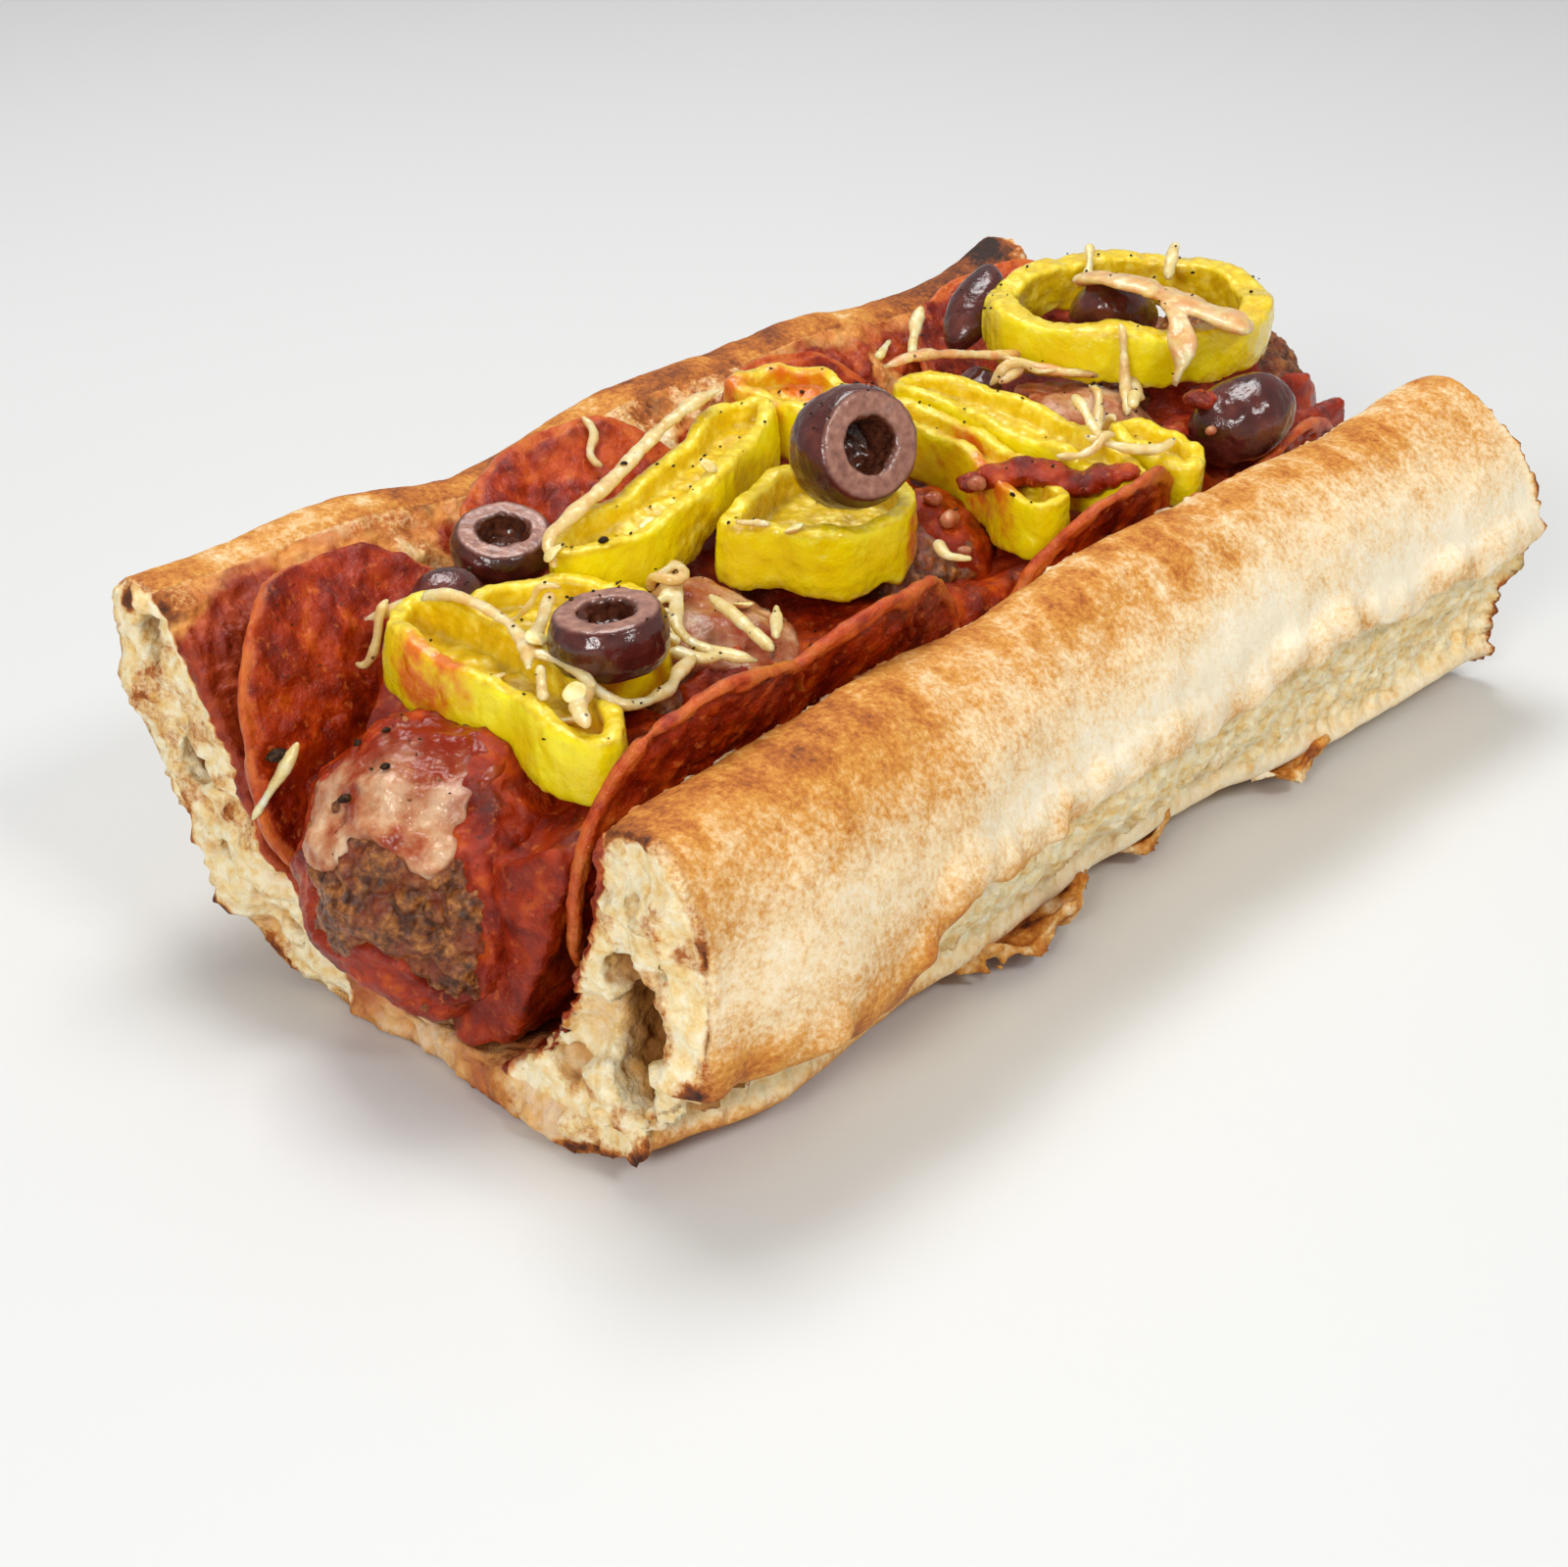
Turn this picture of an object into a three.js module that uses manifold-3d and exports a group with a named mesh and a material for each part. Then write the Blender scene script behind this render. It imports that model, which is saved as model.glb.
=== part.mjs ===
// A submarine sandwich: a toasted roll split along its length and opened like a trough, filled with
// meatballs in tomato sauce, slices of pepperoni, rings of yellow pepper, olives and shredded cheese.
// Millimetres, +Z up. X runs along the roll, from the end shown in front (-X) to the far end (+X).
// Y runs across it, from the low, thick wall (-Y) to the leaning wall (+Y). Z = 0 is the flat
// underside. The pieces are placed from the middle of the roll, and at the end all of them are moved
// so that the origin is under the middle of the whole.
import * as THREE from "three";
import { mergeVertices } from "three/addons/utils/BufferGeometryUtils.js";
import Module from "manifold-3d";

const wasm = await Module();
wasm.setup();

// Driving dimensions
const ROLL_LENGTH = 200;
const WALL_TOP = 51.5; // height of the low wall's upper edge
const FLOOR_TOP = 5; // thickness of the crust along the hinge
const CLEARANCE = 0.3; // gap between neighbouring pieces
const BED_GAP = 0.6; // gap between the sauce bed and the bread
const MEATBALL_RADIUS = 19.5;
const MEATBALL_COUNT = 5;
const MEATBALL_FIRST = -88;
const MEATBALL_PITCH = 46;
const MEATBALL_HEIGHT = 26.6;
const MEATBALL_RISE = 2.2; // each one sits a little higher than the one before it
const PEPPERONI_RADIUS = 23.5;
const PEPPERONI_THICKNESS = 1.5;
const RING_WALL = 3.6; // thickness of a pepper ring's flesh
const RING_BAND = 9.5; // height of a pepper ring's cut band
const OLIVE_RADIUS = 8.1;
const OLIVE_HOLE = 3.8;
const OLIVE_SLICE = 7.5;
const CHEESE_SHEET = 1.6;
const SHRED_WIDTH = 2.6;
const SHRED_THICKNESS = 1.8;

const HALF = ROLL_LENGTH / 2;
const { smoothstep, degToRad } = THREE.MathUtils;
const vec = (x, y, z) => new THREE.Vector3(x, y, z);

// Smooth unevenness between about -1 and 1, the same on every run.
function uneven(p, wave, seed) {
  let sum = 0;
  for (let k = 1; k <= 4; k++) {
    const turn = 2.399 * (k + 4 * seed);
    const rise = Math.sin(1.7 * (k + seed));
    const level = Math.cos(rise);
    const reach = p.x * Math.cos(turn) * level + p.y * Math.sin(turn) * level + p.z * Math.sin(rise);
    sum += Math.sin((2 * Math.PI * reach * (0.7 + 0.2 * k)) / wave + 5.1 * k + 3.3 * seed);
  }
  return sum / 2.6;
}

// Moves every vertex of a three.js geometry to the place that the function gives it.
function mould(geometry, place) {
  const g = geometry.clone();
  const at = g.getAttribute("position");
  const p = new THREE.Vector3();
  for (let i = 0; i < at.count; i++) {
    const q = place(p.fromBufferAttribute(at, i));
    at.setXYZ(i, q.x, q.y, q.z);
  }
  return g;
}

// A closed geometry as a solid, turned so that its faces point out.
function solidOf(geometry) {
  const bare = new THREE.BufferGeometry().setAttribute("position", geometry.getAttribute("position"));
  if (geometry.index) bare.setIndex(geometry.index);
  const merged = mergeVertices(bare, 1e-3);
  const corners = merged.index.array;
  const kept = [];
  for (let i = 0; i < corners.length; i += 3) {
    const [a, b, c] = [corners[i], corners[i + 1], corners[i + 2]];
    if (a !== b && b !== c && c !== a) kept.push(a, b, c);
  }
  const build = (triangles) =>
    new wasm.Manifold(
      new wasm.Mesh({
        numProp: 3,
        vertProperties: merged.attributes.position.array,
        triVerts: new Uint32Array(triangles),
      }),
    );
  const made = build(kept);
  if (made.volume() > 0) return made;
  for (let i = 0; i < kept.length; i += 3) [kept[i + 1], kept[i + 2]] = [kept[i + 2], kept[i + 1]];
  return build(kept);
}

function geometryOf(solid) {
  const m = solid.getMesh();
  const v = new Float32Array(m.numVert * 3);
  for (let i = 0; i < m.numVert; i++) {
    v.set(m.vertProperties.subarray(i * m.numProp, i * m.numProp + 3), i * 3);
  }
  const g = new THREE.BufferGeometry();
  g.setAttribute("position", new THREE.BufferAttribute(v, 3));
  g.setIndex(new THREE.BufferAttribute(new Uint32Array(m.triVerts), 1));
  return g;
}

// The solid swollen by a small distance along its normals, to cut its neighbours with.
function swollen(solid, distance) {
  const g = geometryOf(solid);
  g.computeVertexNormals();
  const at = g.getAttribute("position");
  const out = g.getAttribute("normal");
  for (let i = 0; i < at.count; i++) {
    at.setXYZ(
      i,
      at.getX(i) + out.getX(i) * distance,
      at.getY(i) + out.getY(i) * distance,
      at.getZ(i) + out.getZ(i) * distance,
    );
  }
  return solidOf(g);
}

const boxOf = (solid) => {
  const { min, max } = solid.boundingBox();
  return new THREE.Box3(vec(...min), vec(...max));
};

function largestPiece(solid) {
  const pieces = solid.decompose();
  return pieces.reduce((a, b) => (b.volume() > a.volume() ? b : a));
}

// The roll's section in the middle of its length, as [y, z], from the front edge of the flat underside
// round the leaning wall, down the trough, and round the low wall.
const UNDERSIDE = [-26, 24];
const SECTION = {
  leaningOutside: [[36, 1.8], [47, 8.5], [55.5, 18], [61.5, 30], [65, 42]],
  leaningTop: [[64.8, 50], [61, 54.6], [55, 54]],
  leaningInside: [[47.5, 48.5], [42, 40.5], [38.2, 30], [33.5, 18.5], [25.5, 9.5]],
  trough: [[13, FLOOR_TOP + 0.6], [0, FLOOR_TOP], [-9.5, FLOOR_TOP + 1.5]],
  lowInside: [[-16.5, 12.5], [-21.5, 23], [-24.5, 34], [-26, 44]],
  lowTop: [[-28.5, 50.2], [-32.5, WALL_TOP], [-38.5, 50]],
  lowOutside: [[-46, 43], [-50.2, 33], [-50.5, 23.5], [-46, 13.5], [-37.5, 4.2]],
};

// Bends a point of the straight roll into the real, uneven one.
function bend(p) {
  const along = p.x / HALF;
  const low = smoothstep(-p.y, 6, 40);
  const leaning = smoothstep(p.y, 6, 52);
  const high = smoothstep(p.z, 20, 52);
  const raised = smoothstep(p.z, 0.5, 6);
  const widened = 3.6 * along * along + 2.2 * Math.max(0, along) * (1 - high) * raised;
  const foot = 7 * smoothstep(-p.x, 78, 102) - 5 * smoothstep(p.x, 20, 60);
  const wavy = 1.6 * Math.sin(p.x / 17 + 0.6) + 1.1 * Math.sin(p.x / 8.5 + 2);
  const tip = 1.5 * smoothstep(p.x, 84, 103);
  // The low wall narrows towards its front end.
  const narrowed = 7.5 * smoothstep(-p.x, 78, 100) * smoothstep(-p.y, 32, 46);
  const q = p.clone();
  q.y += narrowed * smoothstep(p.z, 3, 14) * (1 - smoothstep(p.z, 30, 54));
  q.y += leaning * (0.8 * Math.sin(p.x / 21) - 2.2 * along * along * (1 - high));
  q.y -= low * (widened - foot * (1 - smoothstep(p.z, 2, 16)));
  q.z += leaning * high * (wavy + tip) + low * high * 0.7 * Math.sin(p.x / 13);
  return q;
}

// How far each end is set back, by where the point lies across the roll. The hinge is torn back.
function setBack(p) {
  const torn = smoothstep(p.y, -14, 4) * (1 - smoothstep(p.y, 30, 46)) * (1 - smoothstep(p.z, 8, 22));
  const frontEnd = 3.5 * torn + 3 * smoothstep(p.y, 20, 50);
  const farEnd = 6 * torn - 4 * smoothstep(p.y, 20, 50);
  return { frontEnd, farEnd };
}

// A closed outline of [y, z] points, rounded into the given number of short edges.
function outlineShape(points, edges) {
  const line = new THREE.SplineCurve(points.map(([y, z]) => new THREE.Vector2(y, z)));
  return new THREE.Shape(line.getPoints(edges));
}

const sectionShape = () =>
  outlineShape([[UNDERSIDE[1], 0], ...Object.values(SECTION).flat(), [UNDERSIDE[0], 0]], 34);

// A shape of [y, z] drawn across the roll, run along it and bent as the roll is.
function alongRoll(shape, from, to, steps, place) {
  const bar = new THREE.ExtrudeGeometry(shape, { depth: to - from, steps, bevelEnabled: false });
  return mould(bar, (p) => place(vec(from + p.z, p.x, p.y)));
}

const blob = (x, y, z, rx, ry, rz) => {
  const ball = new THREE.IcosahedronGeometry(1, 1);
  return solidOf(mould(ball, (p) => vec(x + p.x * rx, y + p.y * ry, z + p.z * rz)));
};

// Pores that the cut ends show, as [x, y, z, radii along X, Y and Z]; the largest is a long tunnel.
const PORES = [
  [-98, -36.2, 21.5, 17, 7.2, 8.8],
  [-99, -33.5, 30, 9, 4.5, 4],
  [-100, -24, 13, 5, 3, 2.4],
  [-98, 56, 46, 6, 3, 4.5],
  [-97, 51, 30, 7, 3.6, 4],
  [101, -38, 26, 8, 5, 6],
  [103, 53, 40, 7, 4, 4.5],
  [103, 46, 22, 6, 4, 3.5],
];

// Torn flaps of bottom crust that stick out under the low wall, as [middle x, length, reach].
const FLAPS = [
  [-18, 34, 6],
  [48, 26, 9],
];

function flap([middle, length, reach]) {
  const plate = new THREE.BoxGeometry(length, 14, 2.6, 7, 2, 1);
  return solidOf(
    mould(plate, (p) => {
      const outward = smoothstep(-p.y, -7, 7);
      const rounded = Math.sqrt(Math.max(0, 1 - (2 * p.x / length) ** 2 * 0.9));
      const jag = 1 + 0.18 * uneven(p, 9, 5);
      const y = -31 - outward * (3 + reach * rounded * jag);
      const curl = outward * outward * 1.6 * (1 + uneven(p, 16, 2));
      return vec(middle + p.x * (1 - 0.25 * outward), y, 1.9 + p.z * (1 - 0.5 * outward) + curl);
    }),
  );
}

function bread() {
  const roll = alongRoll(sectionShape(), -HALF, HALF, 21, (p) => {
    const back = setBack(p);
    const toFront = smoothstep(-p.x, 60, HALF);
    const toFar = smoothstep(p.x, 60, HALF);
    const ragged = 0.9 * uneven(p, 19, 3);
    const q = bend(p);
    q.x += toFront * (back.frontEnd + ragged) - toFar * (back.farEnd + ragged);
    // The side of the low wall is torn open in a long band, where the roll joined its neighbour.
    const band = smoothstep(p.z, 4, 9) * (1 - smoothstep(p.z, 15, 23)) * smoothstep(-p.y, 36, 44);
    q.y += band * (2.2 + 1.3 * uneven(p, 31, 1));
    const skin = smoothstep(p.z, 2, 8) * 0.45;
    q.y += skin * uneven(p, 27, 4);
    q.z += skin * uneven(p, 33, 6);
    return q;
  });
  let solid = solidOf(roll);
  for (const one of FLAPS) solid = solid.add(flap(one));
  for (const pore of PORES) solid = solid.subtract(blob(...pore));
  return largestPiece(solid);
}

// Points across the trough's wall, a little inside it: from the floor up each wall, as [y, z].
const GUIDES = {
  low: [[-3, 7.2], [-11, 10], [-16.5, 17], [-20.5, 27], [-23, 37], [-25.5, 47], [-29, 57], [-31.5, 64]],
  leaning: [[10, 7.8], [20, 11], [27.5, 17], [33, 26], [37, 37], [42, 45], [49, 51.5], [56, 57]],
};

// The sauce's section: it stops short of the slices that line both walls.
const SAUCE_SECTION = [
  [0, FLOOR_TOP + BED_GAP], [-8, 8], [-12.6, 15], [-16.2, 24], [-18.6, 34], [-19.4, 42],
  [-16.5, 45.2], [-9, 42.5], [4, 40.5], [17, 41], [26, 43], [32.5, 45],
  [33.6, 40.5], [30.4, 30], [25.6, 20.8], [19, 14.2], [10.5, 7.8],
];

function sauceBed() {
  const shape = outlineShape([...SAUCE_SECTION, SAUCE_SECTION[0]], 17);
  const bar = alongRoll(shape, -98, 98, 14, (p) => {
    const top = smoothstep(p.z, 30, 40);
    const inside = 1 - smoothstep(Math.abs(p.y - 6), 16, 27);
    const between = Math.cos((2 * Math.PI * (p.x - MEATBALL_FIRST)) / MEATBALL_PITCH);
    const toEnd = smoothstep(Math.abs(p.x), 76, 96);
    const q = bend(p);
    const slumped = 9 * smoothstep(-p.x, 66, 90) * smoothstep(p.y, 6, 22);
    q.z += top * (1.2 * uneven(p, 34, 8) - 1.5 * inside * between - 4 * toEnd * inside + 0.02 * p.x - slumped);
    q.x -= Math.sign(p.x) * toEnd * (5 * smoothstep(p.y, -8, 12) + 1.5 * uneven(p, 21, 9));
    return q;
  });
  return solidOf(bar);
}

function meatball(index) {
  const middle = vec(
    MEATBALL_FIRST + index * MEATBALL_PITCH,
    8 - 1.5 * (index % 2),
    MEATBALL_HEIGHT + index * MEATBALL_RISE,
  );
  const ball = new THREE.SphereGeometry(1, 11, 7);
  const shape = mould(ball, (p) => {
    const lumps = 1 + 0.045 * uneven(p.clone().multiplyScalar(MEATBALL_RADIUS), 13, index + 1);
    return p.clone().multiplyScalar(MEATBALL_RADIUS * lumps).add(middle);
  });
  return { middle, solid: solidOf(shape) };
}

// A disc of several rings of facets with a thickness along Y, for sheets that are then shaped.
function discGeometry(thickness, rings, segments) {
  const h = thickness / 2;
  const bottom = rings.map((r) => new THREE.Vector2(r, -h));
  const top = rings.map((r) => new THREE.Vector2(r, h)).reverse();
  const profile = [new THREE.Vector2(0, -h), ...bottom, ...top, new THREE.Vector2(0, h)];
  return new THREE.LatheGeometry(profile, segments);
}

// A slice of pepperoni that stands against a wall of the trough and curls at its rim.
function pepperoni(wall, x, rise, options = {}) {
  const { radius = PEPPERONI_RADIUS, curl = 2.5, away = 1.2, turn = 0, lean = 0 } = options;
  const line = new THREE.SplineCurve(GUIDES[wall].map(([y, z]) => new THREE.Vector2(y, z)));
  const reach = line.getLength();
  const inward = wall === "low" ? 1 : -1;
  const disc = discGeometry(PEPPERONI_THICKNESS, [0.6 * radius, radius], 15);
  return solidOf(
    mould(disc, (p) => {
      const rim = Math.hypot(p.x, p.z) / radius;
      const angle = Math.atan2(p.z, p.x);
      const wide = p.x * Math.cos(turn) - p.z * Math.sin(turn);
      const up = p.x * Math.sin(turn) + p.z * Math.cos(turn);
      const share = THREE.MathUtils.clamp((rise + up) / reach, 0.001, 0.999);
      const on = line.getPointAt(share);
      const run = line.getTangentAt(share);
      const wave = curl * rim * rim * (0.5 + 0.5 * Math.sin(3 * angle + x)) * smoothstep(up, -radius, radius);
      const off = away + wave + p.y + lean * (up / radius);
      const q = bend(vec(x + wide, on.x + inward * run.y * off, on.y - inward * run.x * off));
      return q;
    }),
  );
}

// A pepper ring: a band that hangs from a closed loop through the given points, which lie along the
// middle of its upper cut edge. Its skin side is convex and both cut edges are a little wavy. A
// squashed ring is filled by its own flesh, from a depth under that edge.
function pepperRing(points, { band = RING_BAND, wall = RING_WALL, edges = 17, inner = 1, filled = 0 } = {}) {
  const loop = new THREE.CatmullRomCurve3(points.map((p) => vec(...p)), true);
  const middle = points.reduce((sum, p) => sum.add(vec(...p)), vec(0, 0, 0)).divideScalar(points.length);
  const around = points.reduce((sum, p, i) => {
    const next = points[(i + 1) % points.length];
    return sum.add(vec(...p).sub(middle).cross(vec(...next).sub(middle)));
  }, vec(0, 0, 0));
  const outward = Math.sign(around.z);
  const up = around.normalize().multiplyScalar(outward);
  // The band's section as [outward, up] in shares of its wall and its height.
  const section = [[0.46, -0.02], [0.63, -0.32], [0.61, -0.72], [0.42, -1], [-0.4, -0.98], [-0.46, -0.03]];
  const tube = new THREE.TorusGeometry(2, 1, section.length, edges);
  const ring = solidOf(
    mould(tube, (p) => {
      const share = (Math.atan2(p.y, p.x) / (2 * Math.PI) + 1) % 1;
      const corner = Math.atan2(p.z, Math.hypot(p.x, p.y) - 2) / (2 * Math.PI);
      const [out, level] = section[Math.round((corner + 1) * section.length) % section.length];
      const on = loop.getPointAt(share);
      const side = loop.getTangentAt(share).cross(up).normalize().multiplyScalar(outward);
      const wavy = 0.35 * Math.sin(2 * Math.PI * 7 * share + 4 * level);
      const reach = out * wall * (out < 0 ? inner : 1);
      return on.addScaledVector(side, reach).addScaledVector(up, level * band + wavy);
    }),
  );
  if (!filled) return ring;
  const first = vec(...points[0]).sub(middle).projectOnPlane(up).normalize();
  const second = up.clone().cross(first);
  const outline = loop.getSpacedPoints(10).slice(1).map((q) => {
    const from = q.sub(middle);
    return new THREE.Vector2(from.dot(first), from.dot(second));
  });
  const depth = band - filled - 1.5;
  const slab = new THREE.ExtrudeGeometry(new THREE.Shape(outline), { depth, steps: 1, bevelEnabled: false });
  const flesh = mould(slab, (p) =>
    middle
      .clone()
      .addScaledVector(first, p.x)
      .addScaledVector(second, p.y)
      .addScaledVector(up, p.z - filled - depth),
  );
  return ring.add(solidOf(flesh));
}

// A turn that points +Z the given way.
const facingTurn = (facing) =>
  new THREE.Quaternion().setFromUnitVectors(vec(0, 0, 1), vec(...facing).normalize());

// A slice of pitted olive: a barrel with a pit hole that stops short of its lower end.
function oliveSlice({ at, facing, radius = OLIVE_RADIUS, height = OLIVE_SLICE, hole = OLIVE_HOLE }) {
  const h = height / 2;
  const profile = [
    [0, -h],
    [radius * 0.86, -h],
    [radius * 0.97, -h * 0.5],
    [radius * 0.97, h * 0.5],
    [radius * 0.86, h],
    [hole * 1.05, h],
    [hole * 0.9, -h * 0.4],
    [0, -h * 0.6],
  ].map(([r, z]) => new THREE.Vector2(r, z));
  const turn = facingTurn(facing);
  return solidOf(
    mould(new THREE.LatheGeometry(profile, 14), (p) => {
      const oval = 1 + 0.03 * Math.cos(2 * Math.atan2(p.z, p.x));
      return vec(p.x * oval, p.z / oval, p.y).applyQuaternion(turn).add(vec(...at));
    }),
  );
}

// A whole or cut olive end, slightly dented; `cut` flattens the side it doesn't face.
function olivePiece({ at, facing, half, seed, cut = -1 }) {
  const turn = facingTurn(facing);
  return solidOf(
    mould(new THREE.SphereGeometry(1, 10, 8), (p) => {
      const q = vec(p.x * half[0], p.y * half[1], Math.max(p.z, cut) * half[2]);
      q.multiplyScalar(1 + 0.05 * uneven(q, 12, seed));
      return q.applyQuaternion(turn).add(vec(...at));
    }),
  );
}

// A soft sheet that clings to a ball: a ragged cap round the direction that it faces.
function clingingSheet({ over, facing, spread, lift, seed, thickness = CHEESE_SHEET }) {
  const disc = discGeometry(thickness, [0.6, 1], 14);
  const turned = new THREE.Quaternion().setFromUnitVectors(vec(0, 1, 0), vec(...facing).normalize());
  return solidOf(
    mould(disc, (p) => {
      const angle = Math.atan2(p.z, p.x);
      const reach = Math.hypot(p.x, p.z);
      const edge = 1 + 0.16 * Math.sin(2 * angle + seed) + 0.1 * Math.sin(5 * angle + 2 * seed);
      const open = degToRad(spread) * reach * edge;
      const ripple = 0.5 * uneven(vec(p.x * 20, p.z * 20, 0), 14, seed);
      const radius = MEATBALL_RADIUS + lift + thickness / 2 + ripple + p.y * (1 - 0.4 * reach ** 4);
      return vec(Math.sin(open) * Math.cos(angle), Math.cos(open), Math.sin(open) * Math.sin(angle))
        .applyQuaternion(turned)
        .multiplyScalar(radius)
        .add(over);
    }),
  );
}

// A strip of shredded cheese along a smooth line through the given points.
function shred(points, width = SHRED_WIDTH, thickness = SHRED_THICKNESS, steps = 6) {
  const line = new THREE.CatmullRomCurve3(points.map((p) => vec(...p)));
  const rod = new THREE.CylinderGeometry(1, 1, 1, 5, steps);
  return solidOf(
    mould(rod, (p) => {
      const share = THREE.MathUtils.clamp(p.y + 0.5, 0.0005, 0.9995);
      const on = line.getPointAt(share);
      const run = line.getTangentAt(share);
      const side = vec(-run.y, run.x, 0);
      if (side.length() < 0.05) side.set(1, 0, 0);
      side.normalize();
      const rise = side.clone().cross(run).normalize();
      const plump = 1 + 0.16 * uneven(on, 9, 2);
      const ends = 0.72 + 0.28 * smoothstep(Math.min(share, 1 - share), 0, 0.08);
      return on
        .addScaledVector(side, p.x * 0.5 * width * plump * ends)
        .addScaledVector(rise, p.z * 0.5 * thickness * plump * ends);
    }),
  );
}

// Strips that have melted into one web.
const web = (...strips) => strips.map((s) => shred(...s)).reduce((a, b) => a.add(b));

const COLOURS = {
  bread: [0xd9a35c, 0.8],
  sauce: [0x9c2a16, 0.3],
  meat: [0x6b4326, 0.5],
  pepperoni: [0xb5401c, 0.4],
  cheese: [0xe2cf98, 0.4],
  pepper: [0xd8bf12, 0.25],
  olive: [0x452028, 0.25],
};

const FINISHES = Object.fromEntries(
  Object.entries(COLOURS).map(([name, [color, roughness]]) => [
    name,
    new THREE.MeshStandardMaterial({ name, color, roughness, metalness: 0 }),
  ]),
);

const balls = Array.from({ length: MEATBALL_COUNT }, (_, i) => meatball(i));

// Every piece, from those that lie on top, which stay whole, to those that they press into.
const pieces = [];
const put = (name, finish, solid) => pieces.push({ name, finish, solid });

// Shredded cheese
put("cheese_web_front", "cheese", web(
  [[[-78.5, 33.5, 51], [-76, 29.5, 53], [-73, 24, 55.6], [-73, 18, 56.2], [-74.5, 9.5, 56], [-78, 3, 55.6], [-82, -1.5, 55.6]]],
  [[[-60.5, 15.5, 54], [-68.5, 9, 55.2], [-77, 3, 55.6]]],
  [[[-78, 3, 55.6], [-77, -4, 54.8], [-78, -8.5, 54], [-83, -11, 53.8], [-86, -15.5, 53.4]]],
  [[[-77.5, -6, 54.4], [-76, -12, 51.6], [-68.5, -12.5, 50.6], [-62, -9.5, 50.4], [-57, -7.5, 50]]],
));
put("cheese_web_middle", "cheese", web(
  [[[-41.5, 10.5, 51.2], [-47.5, 4, 51.2], [-51.5, 0.5, 50.4], [-53.5, -5, 49.6], [-50, -13, 48.4]], 2.8],
  [[[-41, 12, 52], [-46.5, 6.5, 51.6], [-53, 6, 51]], 2.6],
  [[[-58, -4, 50.2], [-55.5, -8.5, 49.4], [-53, -8.5, 49.2]], 3],
));
put("cheese_stick", "cheese", shred([[-44.5, 0.5, 52.2], [-47.5, -7.5, 52], [-50, -15.5, 50.8]], 2.3, 1.8, 4));
put("cheese_stick_short", "cheese", shred([[-38.5, -6.5, 50.8], [-46.5, -13, 50.4]], 2.2, 1.7, 2));
put("cheese_web_back", "cheese", shred([
  [-55, 20, 54.5], [-52, 24, 56.4], [-45, 26.5, 57.2], [-33.5, 29, 58.6], [-22, 32, 60.6], [-10, 34, 62.6],
  [-4, 33.5, 63.2],
], 3.2, 1.8, 12));
put("cheese_web_far", "cheese", web(
  [[[27, 26, 60], [34, 24.5, 60.4], [42, 22, 59], [52, 19.5, 56.8], [61, 19.5, 55.6]], 3],
  [[[50, 19, 57], [52.5, 13, 55.8], [56, 7.5, 55.2], [62, 3.5, 54.4], [60, 0, 53.4], [59.5, -2.5, 52]], 3.4, 2.2],
  [[[40, 12.5, 56.8], [45, 13.5, 56.6], [51, 15.5, 56.4]], 2.4],
));
put("cheese_melt_far", "cheese", web(
  [[[73.5, 19, 64.5], [71, 13.5, 66.4], [71.5, 7.5, 66.4], [73.5, 3.5, 65.4]], 4.6, 2.2],
  [[[74, 5, 65.4], [72, -1.5, 65], [72, -8, 64.2], [75, -13, 62.6]], 6, 2.4],
  [[[71, 1, 65.2], [66, -4.5, 63.6], [62.5, -7.5, 59.5], [61.5, -7, 55]], 4, 2],
));
const strands = {
  front: [[-96.5, 28, 41], [-98.5, 29, 37.5], [-101, 30, 34], [-103, 31, 31]],
  wall: [[60, 43.5, 58], [56.5, 42, 55.2], [51, 38.5, 52.6]],
  ring_left: [[85.5, 26.5, 66.2], [82, 24, 64.6], [77.5, 21.5, 61.8]],
  ring_right: [[96, 15.5, 66.2], [90.5, 13, 64.8], [87.5, 11.5, 62.4]],
  pepper_far: [[37, -4, 59.4], [33.5, -8, 59.4], [30, -13.5, 57]],
  pepper_back: [[25, 25.5, 62.2], [31, 28, 63]],
  pepper_front: [[28, -12, 57.4], [30.5, -18, 56.2], [35, -21, 55.4], [40, -21, 55.6]],
  end: [[50, -7, 56.8], [44.5, -10, 57]],
  chip: [[-5, -9, 50], [-7, -12.5, 49.4], [-5, -15.5, 49]],
};
for (const [name, points] of Object.entries(strands)) {
  put("cheese_strand_" + name, "cheese", shred(points, 2.3, 1.7, 2 * points.length - 2));
}

// Olives
put("olive_near", "olive", oliveSlice({ at: [-69.5, -4, 56.5], facing: [-0.05, 0.06, 1] }));
put("olive_standing", "olive", oliveSlice({
  at: [-12.8, 0.6, 64.6], facing: [-0.25, -0.86, 0.38], radius: 9.3, height: 9.6, hole: 4.2,
}));
put("olive_wall", "olive", oliveSlice({ at: [-47.5, 38, 50.5], facing: [-0.14, -0.24, 1], radius: 7.8, height: 6 }));
put("olive_end_cap", "olive", olivePiece({ at: [-63.5, 33, 47], facing: [-0.2, 0, 1], half: [6.6, 5.6, 6.8], seed: 3 }));
put("olive_far", "olive", olivePiece({ at: [60.5, -20.5, 52.5], facing: [0.7, -0.5, 0.4], half: [7.2, 6.8, 9.4], seed: 5 }));
put("olive_in_ring", "olive", olivePiece({
  at: [76, 14.5, 59], facing: [0.3, 0.2, 1], half: [8.6, 6.5, 6.2], seed: 4, cut: -0.6,
}));
put("olive_wedge", "olive", olivePiece({ at: [64.5, 35.5, 58.5], facing: [0.75, 0.1, 0.6], half: [3.4, 4.6, 8.6], seed: 6 }));
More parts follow.
